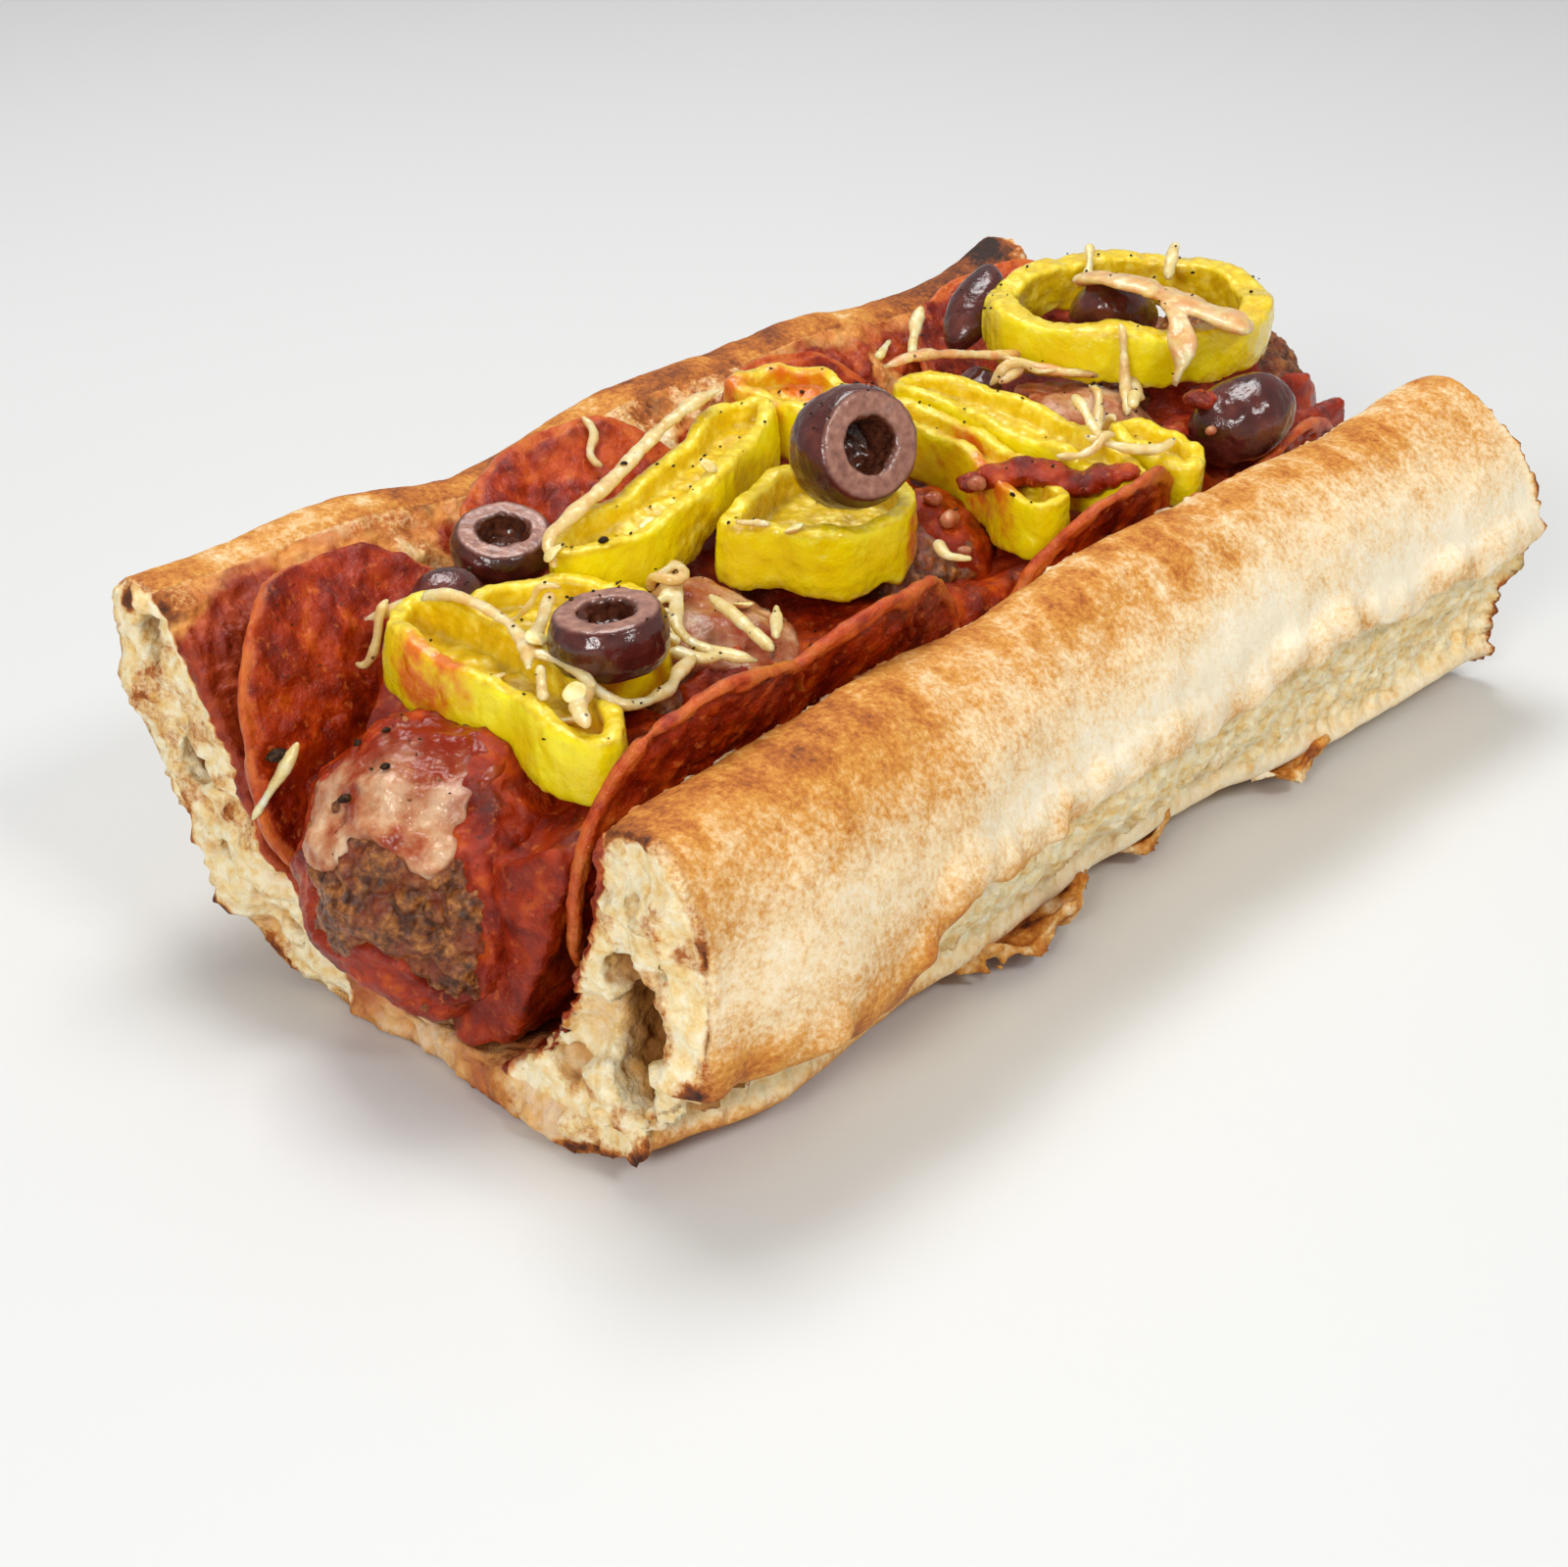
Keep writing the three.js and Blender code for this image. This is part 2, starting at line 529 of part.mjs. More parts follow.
put("olive_tip", "olive", olivePiece({ at: [45.5, 20.5, 51.8], facing: [0, 0, 1], half: [4.2, 4, 4.4], seed: 7 }));

// Rings of yellow pepper, each as the loop of its upper cut edge
const rings = {
  front: [
    [[-80.8, 24.2, 55], [-84, 11.5, 54], [-83.5, -1.5, 53], [-86, -11.5, 52.5], [-84, -17, 52],
      [-78, -11.5, 52.5], [-74, 1.5, 53.5], [-72, 16.5, 54.5], [-75, 27.5, 55]],
    { band: 10, wall: 2.8, filled: 5 },
  ],
  front_back: [
    [[-68, 24, 51.5], [-70.5, 16, 51.5], [-68, 6, 51.5], [-62, 1, 51.5], [-54, 2, 51.5],
      [-49, 10, 51.5], [-51, 20, 51.5], [-60, 26, 51.5]],
    { band: 9, wall: 2.7, filled: 3.2 },
  ],
  middle_left: [
    [[-49.5, 24, 54.5], [-41, 19, 55.5], [-29, 18.5, 57], [-12.5, 22.5, 59], [-2, 26.5, 60.5],
      [1.8, 30.5, 61], [-3.5, 33.5, 60.5], [-17, 30.5, 58.5], [-32, 28, 56.5], [-44, 28.5, 55]],
    { band: 9.5, wall: 2.7, inner: 1.1, filled: 3.4 },
  ],
  middle: [
    [[-29, 10.5, 55.5], [-25, 4.5, 55.5], [-22.5, -2, 55.5], [-13.5, -5.5, 55.5], [-5.5, -3.5, 56],
      [-1, 4, 56], [-1.5, 13, 56], [-8.5, 17, 56], [-20, 14.5, 56]],
    { band: 10.5, wall: 3.1, inner: 1.1, filled: 4.5 },
  ],
  back: [
    [[4.5, 38, 61.5], [11, 37, 62], [16.5, 31, 61.5], [15, 24, 61], [8, 20.5, 60], [4.6, 26, 60],
      [4.2, 33, 60.5]],
    { band: 9, wall: 2.7, inner: 1.1, filled: 3.2 },
  ],
  middle_right: [
    [[16.5, 18, 57.5], [18, 8, 56.5], [15, -2, 55.5], [10, -11.5, 54.5], [9, -18, 54],
      [13.5, -18.5, 54], [18, -8.5, 55], [21.5, 2, 56], [23, 12, 57], [20.8, 20, 58]],
    { band: 9.5, wall: 2.6, filled: 2.8 },
  ],
  right: [
    [[26, 21.5, 58.5], [26.8, 11, 58], [24.8, 1, 57], [25.5, -8, 56], [24, -15.5, 55],
      [24, -20.5, 54.5], [28, -22.5, 54], [32.5, -16, 55], [34.5, -7, 56], [35.5, 3, 57], [34.5, 15, 58],
      [31, 23, 58.5]],
    { band: 9, wall: 2.6, filled: 2.8 },
  ],
  right_end: [
    [[37.8, -15, 54.5], [36.8, -20.5, 53.5], [38, -25, 53], [42, -24.5, 53], [45.2, -18.5, 54], [43.5, -12, 55],
      [40, -11, 55]],
    { band: 8, wall: 2.5, edges: 14, filled: 2.6 },
  ],
  far: [
    [[61, 27.5, 63], [56.5, 18.5, 62.5], [60.5, 6.5, 62.2], [68.5, -4.5, 62], [81, -8.5, 62],
      [93.5, -3, 62], [100, 9, 62.5], [95.5, 21, 63], [83.5, 28.5, 63.5], [71.5, 30.5, 63.5]],
    { band: 9, wall: 4.6, inner: 1.4 },
  ],
};
for (const [name, ring] of Object.entries(rings)) {
  put("pepper_ring_" + name, "pepper", pepperRing(...ring));
}

// Melted cheese on the meatballs
put("melted_cheese_front", "cheese", clingingSheet({
  over: balls[0].middle, facing: [-0.34, 0.02, 0.94], spread: 45, lift: 0.6, seed: 1,
}));
put("melted_cheese_middle", "cheese", clingingSheet({
  over: balls[1].middle, facing: [0.05, -0.16, 0.98], spread: 40, lift: 0.6, seed: 2,
}));
put("melted_cheese_far", "cheese", clingingSheet({
  over: balls[3].middle, facing: [0.25, -0.1, 0.96], spread: 40, lift: 0.6, seed: 4,
}));

// Slices of pepperoni: the arc length up the wall's guide line gives each one's height.
const slices = {
  low_1: ["low", -74, 38, { turn: 0.2, curl: 2.5 }],
  low_2: ["low", -40, 37, { turn: 1.4, curl: 3, radius: 24.5 }],
  low_3: ["low", 20, 34.5, { turn: 2.6, curl: 3 }],
  low_4: ["low", 71, 29, { turn: 3.1, curl: 2, radius: 22 }],
  leaning_1: ["leaning", -78, 37, { turn: 0.8, curl: 2, away: 3.6, lean: 2.4, radius: 24 }],
  leaning_2: ["leaning", -27, 46, { turn: 2, curl: 1.5, radius: 24.5 }],
  leaning_3: ["leaning", 25, 41, { turn: 2.9, curl: 2 }],
  leaning_4: ["leaning", 80, 44, { turn: 4, curl: 2.5, radius: 24 }],
};
for (const [name, slice] of Object.entries(slices)) {
  put("pepperoni_" + name, "pepperoni", pepperoni(...slice));
}

balls.forEach(({ solid }, i) => put("meatball_" + (i + 1), "meat", solid));
put("sauce", "sauce", sauceBed());
put("bread", "bread", bread());

// Each piece gives way to those before it, and loose scraps are dropped.
const sandwich = new THREE.Group();
const above = [];
for (const { name, finish, solid } of pieces) {
  let rest = solid;
  for (const upper of above) {
    if (upper.box.intersectsBox(boxOf(rest))) rest = rest.subtract(upper.cutter);
  }
  rest = largestPiece(rest);
  const cutter = swollen(rest, CLEARANCE);
  above.push({ cutter, box: boxOf(cutter) });
  const mesh = new THREE.Mesh(geometryOf(rest), FINISHES[finish]);
  mesh.name = name;
  mesh.geometry.computeBoundingBox();
  mesh.geometry.boundingBox.getCenter(mesh.position);
  mesh.geometry.translate(-mesh.position.x, -mesh.position.y, -mesh.position.z);
  mesh.geometry.computeVertexNormals();
  sandwich.add(mesh);
}

const whole = new THREE.Box3().setFromObject(sandwich);
const middle = whole.getCenter(new THREE.Vector3()).setZ(whole.min.z);
for (const mesh of sandwich.children) mesh.position.sub(middle);

export default sandwich;
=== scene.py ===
"""Looks of the submarine sandwich.

Shapes are worked out in millimetres from the middle of the roll, with +X along it, and put() moves them to
the frame's own origin, in metres.
"""
import math

import bmesh
import bpy
import numpy as np
from mathutils import Matrix


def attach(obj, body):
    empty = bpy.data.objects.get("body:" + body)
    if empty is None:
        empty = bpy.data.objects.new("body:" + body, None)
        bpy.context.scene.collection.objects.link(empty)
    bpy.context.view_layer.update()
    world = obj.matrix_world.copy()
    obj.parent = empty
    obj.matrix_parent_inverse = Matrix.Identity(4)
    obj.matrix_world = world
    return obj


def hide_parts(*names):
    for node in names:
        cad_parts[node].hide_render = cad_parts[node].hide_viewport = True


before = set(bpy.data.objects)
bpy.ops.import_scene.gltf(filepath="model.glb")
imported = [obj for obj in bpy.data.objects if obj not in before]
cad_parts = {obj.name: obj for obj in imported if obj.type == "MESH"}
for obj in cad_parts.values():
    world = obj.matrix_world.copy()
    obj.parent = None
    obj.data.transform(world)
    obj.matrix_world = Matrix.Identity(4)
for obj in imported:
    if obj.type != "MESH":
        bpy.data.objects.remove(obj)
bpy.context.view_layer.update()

scene = bpy.context.scene
SHIFT = np.array([3.1434, 4.8171, 0.0])  # the whole's middle, seen from the roll's middle
HALF = 100.0  # half the roll's length
pi = math.pi


# Numbers
def step(x, low, high):
    t = np.clip((np.asarray(x, float) - low) / (high - low), 0, 1)
    return t * t * (3 - 2 * t)


def unit(v):
    v = np.asarray(v, float)
    return v / np.maximum(np.linalg.norm(v, axis=-1, keepdims=True), 1e-12)


def uneven(p, wave, seed):
    """Smooth unevenness between about -1 and 1: a sum of four sines."""
    total = 0
    for k in range(1, 5):
        turn = 2.399 * (k + 4 * seed)
        rise = math.sin(1.7 * (k + seed))
        level = math.cos(rise)
        reach = (
            p[:, 0] * math.cos(turn) * level + p[:, 1] * math.sin(turn) * level + p[:, 2] * math.sin(rise)
        )
        total = total + np.sin(2 * pi * reach * (0.7 + 0.2 * k) / wave + 5.1 * k + 3.3 * seed)
    return total / 2.6


def scramble(i, j, k, seed):
    h = (i * 374761393 + j * 668265263 + k * 1442695041 + seed * 974634777) & 0xFFFFFFFF
    h = ((h ^ (h >> 13)) * 1274126177) & 0xFFFFFFFF
    h = ((h ^ (h >> 15)) * 668265263) & 0xFFFFFFFF
    return ((h ^ (h >> 16)) & 0xFFFFFF) / 0xFFFFFF


def noise(p, wave, seed):
    """Lattice noise from -1 to 1. The wave may differ by axis."""
    q = p / np.asarray(wave, float) + 100.5
    cell = np.floor(q).astype(np.int64)
    f = q - cell
    f = f * f * f * (f * (f * 6 - 15) + 10)
    out = 0
    for dx in (0, 1):
        for dy in (0, 1):
            for dz in (0, 1):
                w = (f[:, 0] if dx else 1 - f[:, 0]) * (f[:, 1] if dy else 1 - f[:, 1])
                w = w * (f[:, 2] if dz else 1 - f[:, 2])
                out = out + w * scramble(cell[:, 0] + dx, cell[:, 1] + dy, cell[:, 2] + dz, seed)
    return 2 * out - 1


def fbm(p, wave, seed, octaves=3, gain=0.5):
    total, size, norm = 0, 1.0, 0
    for k in range(octaves):
        total = total + size * noise(p, np.asarray(wave, float) / 2**k, seed + 17 * k)
        norm += size
        size *= gain
    return total / norm * 1.5


def cells(p, wave, seed):
    """Distance to the nearest and to the second nearest of scattered points, in waves."""
    q = p / np.asarray(wave, float) + 100.5
    base = np.floor(q).astype(np.int64)
    near = np.full(len(p), 9.0)
    second = near.copy()
    for dx in (-1, 0, 1):
        for dy in (-1, 0, 1):
            for dz in (-1, 0, 1):
                c = base + np.array([dx, dy, dz])
                at = [c[:, a] + scramble(c[:, 0], c[:, 1], c[:, 2], seed + a) for a in range(3)]
                d = np.sqrt(sum((q[:, a] - at[a]) ** 2 for a in range(3)))
                second = np.minimum(second, np.maximum(near, d))
                near = np.minimum(near, d)
    return near, second


# Curves
def run_along(line):
    """How far each point of a line lies from its first one, along the line."""
    return np.concatenate([[0], np.cumsum(np.linalg.norm(np.diff(line, axis=0), axis=1))])


class Curve:
    """A smooth line through points, by shares of its length."""

    def __init__(self, points, closed=False):
        P = np.array(points, float)
        n = len(P)
        out = []
        for i in range(n if closed else n - 1):
            if closed:
                p0, p1, p2, p3 = P[(i - 1) % n], P[i], P[(i + 1) % n], P[(i + 2) % n]
            else:
                p1, p2 = P[i], P[i + 1]
                p0 = P[i - 1] if i else 2 * P[0] - P[1]
                p3 = P[i + 2] if i + 2 < n else 2 * P[-1] - P[-2]
            d0, d1, d2 = (
                max(np.linalg.norm(b - a) ** 0.5, 1e-4)
                for a, b in ((p0, p1), (p1, p2), (p2, p3))
            )
            a1 = ((p1 - p0) / d0 - (p2 - p0) / (d0 + d1) + (p2 - p1) / d1) * d1
            a2 = ((p2 - p1) / d1 - (p3 - p1) / (d1 + d2) + (p3 - p2) / d2) * d1
            t = np.linspace(0, 1, 24, endpoint=False)[:, None]
            out.append(
                p1 + a1 * t + (-3 * p1 + 3 * p2 - 2 * a1 - a2) * t**2
                + (2 * p1 - 2 * p2 + a1 + a2) * t**3
            )
        out.append(P[:1] if closed else P[-1:])
        self.line = np.vstack(out)
        self.run = run_along(self.line)
        self.length = self.run[-1]
        self.closed = closed

    def at(self, share):
        share = np.asarray(share, float)
        share = share % 1 if self.closed else np.clip(share, 0, 1)
        return np.stack([np.interp(share * self.length, self.run, c) for c in self.line.T], -1)

    def toward(self, share, e=0.004):
        a, b = np.asarray(share) - e, np.asarray(share) + e
        if not self.closed:
            a, b = np.clip(a, 0, 1 - 2 * e), np.clip(b, 2 * e, 1)
        return unit(self.at(b) - self.at(a))


def spline(points, count):
    """Points of a uniform smooth line, evenly by its parameter."""
    P = np.array(points, float)
    n = len(P)
    t = np.linspace(0, n - 1, count)
    i = np.minimum(t.astype(int), n - 2)
    w = (t - i)[:, None]
    p0, p1, p2, p3 = P[np.maximum(i - 1, 0)], P[i], P[i + 1], P[np.minimum(i + 2, n - 1)]
    v0, v1 = (p2 - p0) / 2, (p3 - p1) / 2
    return (2 * p1 - 2 * p2 + v0 + v1) * w**3 + (-3 * p1 + 3 * p2 - 2 * v0 - v1) * w**2 + v0 * w + p1


# Meshes
def mesh_of(name, V, F):
    mesh = bpy.data.meshes.new(name)
    if isinstance(F, list):
        mesh.from_pydata([tuple(v) for v in V], [], F)
    else:
        n, k = F.shape
        mesh.vertices.add(len(V))
        mesh.vertices.foreach_set("co", np.ascontiguousarray(V, np.float32).ravel())
        mesh.loops.add(n * k)
        mesh.loops.foreach_set("vertex_index", np.ascontiguousarray(F, np.int32).ravel())
        mesh.polygons.add(n)
        mesh.polygons.foreach_set("loop_start", np.arange(0, n * k, k, dtype=np.int32))
    mesh.update(calc_edges=True)
    return mesh


def arrays(mesh):
    V = np.zeros(len(mesh.vertices) * 3, np.float32)
    mesh.vertices.foreach_get("co", V)
    F = np.zeros(len(mesh.loops), np.int32)
    mesh.loops.foreach_get("vertex_index", F)
    return V.reshape(-1, 3).astype(float), F.reshape(len(mesh.polygons), -1)


def remeshed(V, F, voxel, minus=None):
    """One even skin of quads round closed meshes, less another mesh."""
    o = bpy.data.objects.new("skin", mesh_of("skin", V, F))
    scene.collection.objects.link(o)
    cutter = None
    if minus:
        cutter = bpy.data.objects.new("cutter", mesh_of("cutter", *minus))
        scene.collection.objects.link(cutter)
        cut = o.modifiers.new("cut", "BOOLEAN")
        cut.operation, cut.object, cut.solver = "DIFFERENCE", cutter, "EXACT"
        cut.use_self = True
    skin = o.modifiers.new("skin", "REMESH")
    skin.mode, skin.voxel_size = "VOXEL", voxel
    made = bpy.data.meshes.new_from_object(o.evaluated_get(bpy.context.evaluated_depsgraph_get()))
    V, F = arrays(made)
    bpy.data.objects.remove(o)
    if cutter:
        bpy.data.objects.remove(cutter)
    bpy.data.meshes.remove(made)
    return V, F


def in_batches(V, answer, size=20000):
    """An answer for every point, worked out for some of them at a time."""
    return np.concatenate([answer(V[a : a + size]) for a in range(0, len(V), size)])


def spread(F, values, count):
    """Adds each face's value to its corners."""
    out = np.zeros((count, values.shape[1]))
    for a in range(values.shape[1]):
        for c in range(F.shape[1]):
            out[:, a] += np.bincount(F[:, c], values[:, a], count)
    return out


def normals(V, F):
    k = F.shape[1]
    n = np.cross(V[F[:, 2]] - V[F[:, 0]], V[F[:, k - 1]] - V[F[:, 1]])
    return unit(spread(F, n, len(V)))


def relaxed(V, F, steps=2, share=0.5):
    k = F.shape[1]
    a = np.concatenate([F[:, i] for i in range(k)])
    b = np.concatenate([F[:, (i + 1) % k] for i in range(k)])
    count = np.bincount(a, minlength=len(V))[:, None]
    for _ in range(steps):
        mean = np.stack([np.bincount(a, V[b, c], len(V)) for c in range(3)], 1) / np.maximum(count, 1)
        V = V + share * (mean - V)
    return V


def roughened(V, F, voxel, steps, depth, wave, seed, octaves, more=0.0):
    """Closed meshes in one smoothed skin that a noise lifts along its normals."""
    V, F = remeshed(V, F, voxel)
    V = relaxed(V, F, steps)
    return V + normals(V, F) * (depth * fbm(V, wave, seed, octaves) + more)[:, None], F


def facing_out(V, F):
    k = F.shape[1]
    volume = np.einsum("ij,ij->i", V[F[:, 0]], np.cross(V[F[:, 1]], V[F[:, 2]])).sum()
    if k == 4:
        volume += np.einsum("ij,ij->i", V[F[:, 0]], np.cross(V[F[:, 2]], V[F[:, 3]])).sum()
    return F if volume > 0 else F[:, ::-1].copy()


def lattice(rows, columns, round_rows=False, round_columns=True):
    """Quads over a grid of points numbered row by row."""
    i = np.arange(rows if round_rows else rows - 1)
    j = np.arange(columns if round_columns else columns - 1)
    i, j = np.meshgrid(i, j, indexing="ij")
    i2, j2 = (i + 1) % rows, (j + 1) % columns
    corners = [i * columns + j, i * columns + j2, i2 * columns + j2, i2 * columns + j]
    return np.stack(corners, -1).reshape(-1, 4)


def faces_of(F, first=0):
    """The rows of a face array as tuples, for meshes with faces of several sizes."""
    return [tuple(int(c) + first for c in f) for f in F]


def icosphere(level):
    b = bmesh.new()
    bmesh.ops.create_icosphere(b, subdivisions=level, radius=1)
    mesh = bpy.data.meshes.new("ball")
    b.to_mesh(mesh)
    b.free()
    V, F = arrays(mesh)
    bpy.data.meshes.remove(mesh)
    return unit(V), F


def joined(parts):
    """Several (V, F) with the same number of corners, as one."""
    Vs, Fs, at = [], [], 0
    for V, F in parts:
        Vs.append(V)
        Fs.append(F + at)
        at += len(V)
    return np.vstack(Vs), np.vstack(Fs)


# The ground under the fillings, in square cells
CELL = 0.4
CORNER = (128, 68)
CELLS = (640, 340)
NOTHING = -9.0
heights = np.full(CELLS, NOTHING)


def cell_of(place, axis):
    """Cells are counted from the corner that lies this far from the roll's middle towards -X and -Y."""
    return ((place + CORNER[axis]) / CELL).astype(int)


def on_ground(cell, axis):
    return np.clip(cell, 0, CELLS[axis] - 1)


def laid(V):
    """Notes how high the fillings reach over each cell of the ground."""
    i, j = (on_ground(cell_of(V[:, axis], axis), axis) for axis in (0, 1))
    np.maximum.at(heights, (i, j), V[:, 2])


def top_at(x, y, reach=1):
    """The height of the fillings near points of the ground."""
    i, j = cell_of(np.atleast_1d(x), 0), cell_of(np.atleast_1d(y), 1)
    best = np.full(len(i), NOTHING)
    for a in range(-reach, reach + 1):
        for b in range(-reach, reach + 1):
            best = np.maximum(best, heights[on_ground(i + a, 0), on_ground(j + b, 1)])
    return best


def put(name, V, F, material, nodes=(), masks=None):
    """A finished piece: it takes its place, rides on the part and stands for its CAD nodes."""
    laid(V)
    o = bpy.data.objects.new(name, mesh_of(name, (V - SHIFT) / 1000, facing_out(V, F)))
    o.data.materials.append(material)
    o.data.polygons.foreach_set("use_smooth", np.ones(len(o.data.polygons), bool))
    for key, values in (masks or {}).items():
        layer = o.data.attributes.new(key, "FLOAT", "POINT")
        layer.data.foreach_set("value", np.clip(values, 0, 1).astype(np.float32))
    scene.collection.objects.link(o)
    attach(o, "root")
    for node in nodes:
        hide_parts(node)
    return o


# Materials
def srgb(r, g, b):
    def linear(c):
        c /= 255
        return c / 12.92 if c <= 0.04045 else ((c + 0.055) / 1.055) ** 2.4

    return (linear(r), linear(g), linear(b), 1)


class Shade:
    """A material of nodes. Lengths of its textures are in millimetres."""

    def __init__(self, name, specular=None, radius=None, **inputs):
        self.material = bpy.data.materials.new(name)
        self.material.use_nodes = True
        self.tree = self.material.node_tree
        self.shader = self.tree.nodes["Principled BSDF"]
        self.place = self.tree.nodes.new("ShaderNodeTexCoord").outputs["Object"]
        inputs |= {"Specular IOR Level": specular, "Subsurface Radius": radius}
        for key, value in inputs.items():
            if value is not None:
                self.shader.inputs[key.replace("_", " ")].default_value = value

    def node(self, kind, inputs=None, **settings):
        n = self.tree.nodes.new("ShaderNode" + kind)
        for key, value in settings.items():
            setattr(n, key, value)
        for key, value in (inputs or {}).items():
            if isinstance(value, bpy.types.NodeSocket):
                self.tree.links.new(value, n.inputs[key])
            else:
                n.inputs[key].default_value = value
        return n

    def mask(self, name):
        return self.node("Attribute", attribute_name=name).outputs["Fac"]

    def noise(self, millimetres, detail=4, roughness=0.55):
        inputs = {
            "Vector": self.place, "Scale": 1000 / millimetres, "Detail": detail, "Roughness": roughness,
        }
        return self.node("TexNoise", inputs).outputs["Fac"]

    def cells(self, millimetres):
        inputs = {"Vector": self.place, "Scale": 1000 / millimetres}
        return self.node("TexVoronoi", inputs).outputs["Distance"]

    def shades(self, value, stops):
        """Stops of (place, colour)."""
        n = self.node("ValToRGB", {"Fac": value})
        marks = n.color_ramp.elements
        while len(marks) < len(stops):
            marks.new(0.5)
        for mark, (at, colour) in zip(marks, stops):
            mark.position, mark.color = at, colour
        return n.outputs["Color"]

    def ramp(self, value, *stops):
        """Stops of (place, red, green, blue), with colours from 0 to 255."""
        return self.shades(value, [(at, srgb(*colour)) for at, *colour in stops])

    def times(self, a, b):
        return self.node("Math", {0: a, 1: b}, operation="MULTIPLY").outputs[0]

    def plus(self, a, b):
        return self.node("Math", {0: a, 1: b}, operation="ADD").outputs[0]

    def mix(self, share, a, b):
        return self.node("Mix", {0: share, 6: a, 7: b}, data_type="RGBA").outputs[2]

    def range(self, value, low, high, to_low=0.0, to_high=1.0):
        inputs = {"Value": value, "From Min": low, "From Max": high, "To Min": to_low, "To Max": to_high}
        return self.node("MapRange", inputs).outputs[0]

    def bump(self, *layers):
        """Layers of (height, depth in mm), each on top of the one before."""
        before = None
        for height, depth in layers:
            n = self.node("Bump", {"Height": height, "Distance": depth / 1000, "Strength": 1.0})
            if before:
                self.tree.links.new(before, n.inputs["Normal"])
            before = n.outputs["Normal"]
        self.tree.links.new(before, self.shader.inputs["Normal"])
        self.tree.links.new(before, self.shader.inputs["Coat Normal"])

    def to(self, name, value):
        self.tree.links.new(value, self.shader.inputs[name])


def bread_look():
    s = Shade("bread", 0.3, (1.0, 0.6, 0.3), Subsurface_Weight=0.15, Subsurface_Scale=0.003)
    toast_and_shade, crumb, stain, pit = (s.mask(n) for n in ("toast_and_shade", "crumb", "stain", "pit"))
    patches = s.noise(9, 5)
    fine = s.noise(0.9, 5, 0.68)
    # This mask browns the crust, and also darkens it as painted shade low on the low wall.
    level = s.plus(toast_and_shade, s.range(patches, 0.3, 0.7, -0.08, 0.08))
    level = s.plus(level, s.range(fine, 0.32, 0.68, -0.13, 0.13))
    level = s.plus(level, s.range(s.noise(3.2, 6, 0.65), 0.3, 0.7, -0.09, 0.09))
    crust = s.ramp(
        level,
        (0.0, 243, 230, 202),
        (0.2, 237, 208, 160),
        (0.42, 212, 148, 62),
        (0.6, 182, 104, 36),
        (0.78, 126, 64, 27),
        (1.0, 44, 28, 20),
    )
    flour = s.range(s.noise(0.7, 4, 0.7), 0.47, 0.68, 0, 0.55)
    flour = s.times(flour, s.range(toast_and_shade, 0.48, 0.16, 0, 1))
    crust = s.mix(flour, crust, srgb(246, 234, 212))
    inside = s.ramp(
        s.noise(2.2, 4, 0.6), (0.3, 234, 190, 112), (0.44, 246, 218, 160), (0.62, 253, 240, 206),
    )
    # Painted shade: the crumb is darker in its pits, and dark brown in the pores near the cut ends.
    inside = s.mix(s.range(pit, 0.15, 0.6, 0, 0.8), inside, srgb(206, 146, 64))
    inside = s.mix(s.range(pit, 0.55, 1, 0, 0.9), inside, srgb(140, 84, 22))
    inside = s.mix(s.range(level, 0.3, 0.62, 0, 1), inside, crust)
    body = s.mix(crumb, crust, inside)
    oil = s.ramp(s.noise(5, 5, 0.6), (0.35, 196, 104, 40), (0.55, 222, 146, 66), (0.75, 238, 186, 112))
    body = s.mix(s.range(stain, 0.1, 0.5, 0, 0.85), body, oil)
    stained = s.ramp(s.noise(4, 4), (0.35, 124, 30, 10), (0.55, 164, 58, 20), (0.75, 204, 96, 36))
    body = s.mix(s.range(stain, 0.55, 0.95, 0, 1), body, stained)
    s.to("Base Color", body)
    s.to("Roughness", s.range(stain, 0.3, 1, 0.66, 0.3))
    sponge = s.times(s.cells(1.4), s.plus(crumb, 0.2))
    torn = s.times(s.noise(0.8, 4, 0.7), s.plus(crumb, 0.15))
    s.bump((fine, 0.16), (s.noise(4, 5), 0.35), (sponge, 0.22), (torn, 0.2))
    return s.material


def sauce_colour(s):
    tone = s.noise(5, 5, 0.6)
    red = s.ramp(
        tone,
        (0.28, 82, 12, 1),
        (0.44, 130, 27, 2),
        (0.58, 164, 46, 3),
        (0.72, 198, 84, 14),
    )
    flecks = s.range(s.noise(0.8, 2), 0.66, 0.72)
    red = s.mix(s.times(flecks, 0.7), red, srgb(52, 22, 8))
    return s.mix(s.times(s.range(s.noise(1.4, 3), 0.6, 0.7), 0.5), red, srgb(214, 112, 48))


def sauce_look():
    s = Shade(
        "sauce", 0.06, (1.0, 0.35, 0.1), Subsurface_Weight=0.1, Subsurface_Scale=0.0015, Coat_Weight=0.5,
        Coat_Roughness=0.04,
    )
    s.to("Base Color", sauce_colour(s))
    s.to("Roughness", s.range(s.noise(3, 3), 0.3, 0.7, 0.22, 0.45))
    s.bump((s.noise(0.9, 5, 0.68), 0.35), (s.noise(2.2, 4), 0.4), (s.noise(6, 3), 0.2))
    return s.material


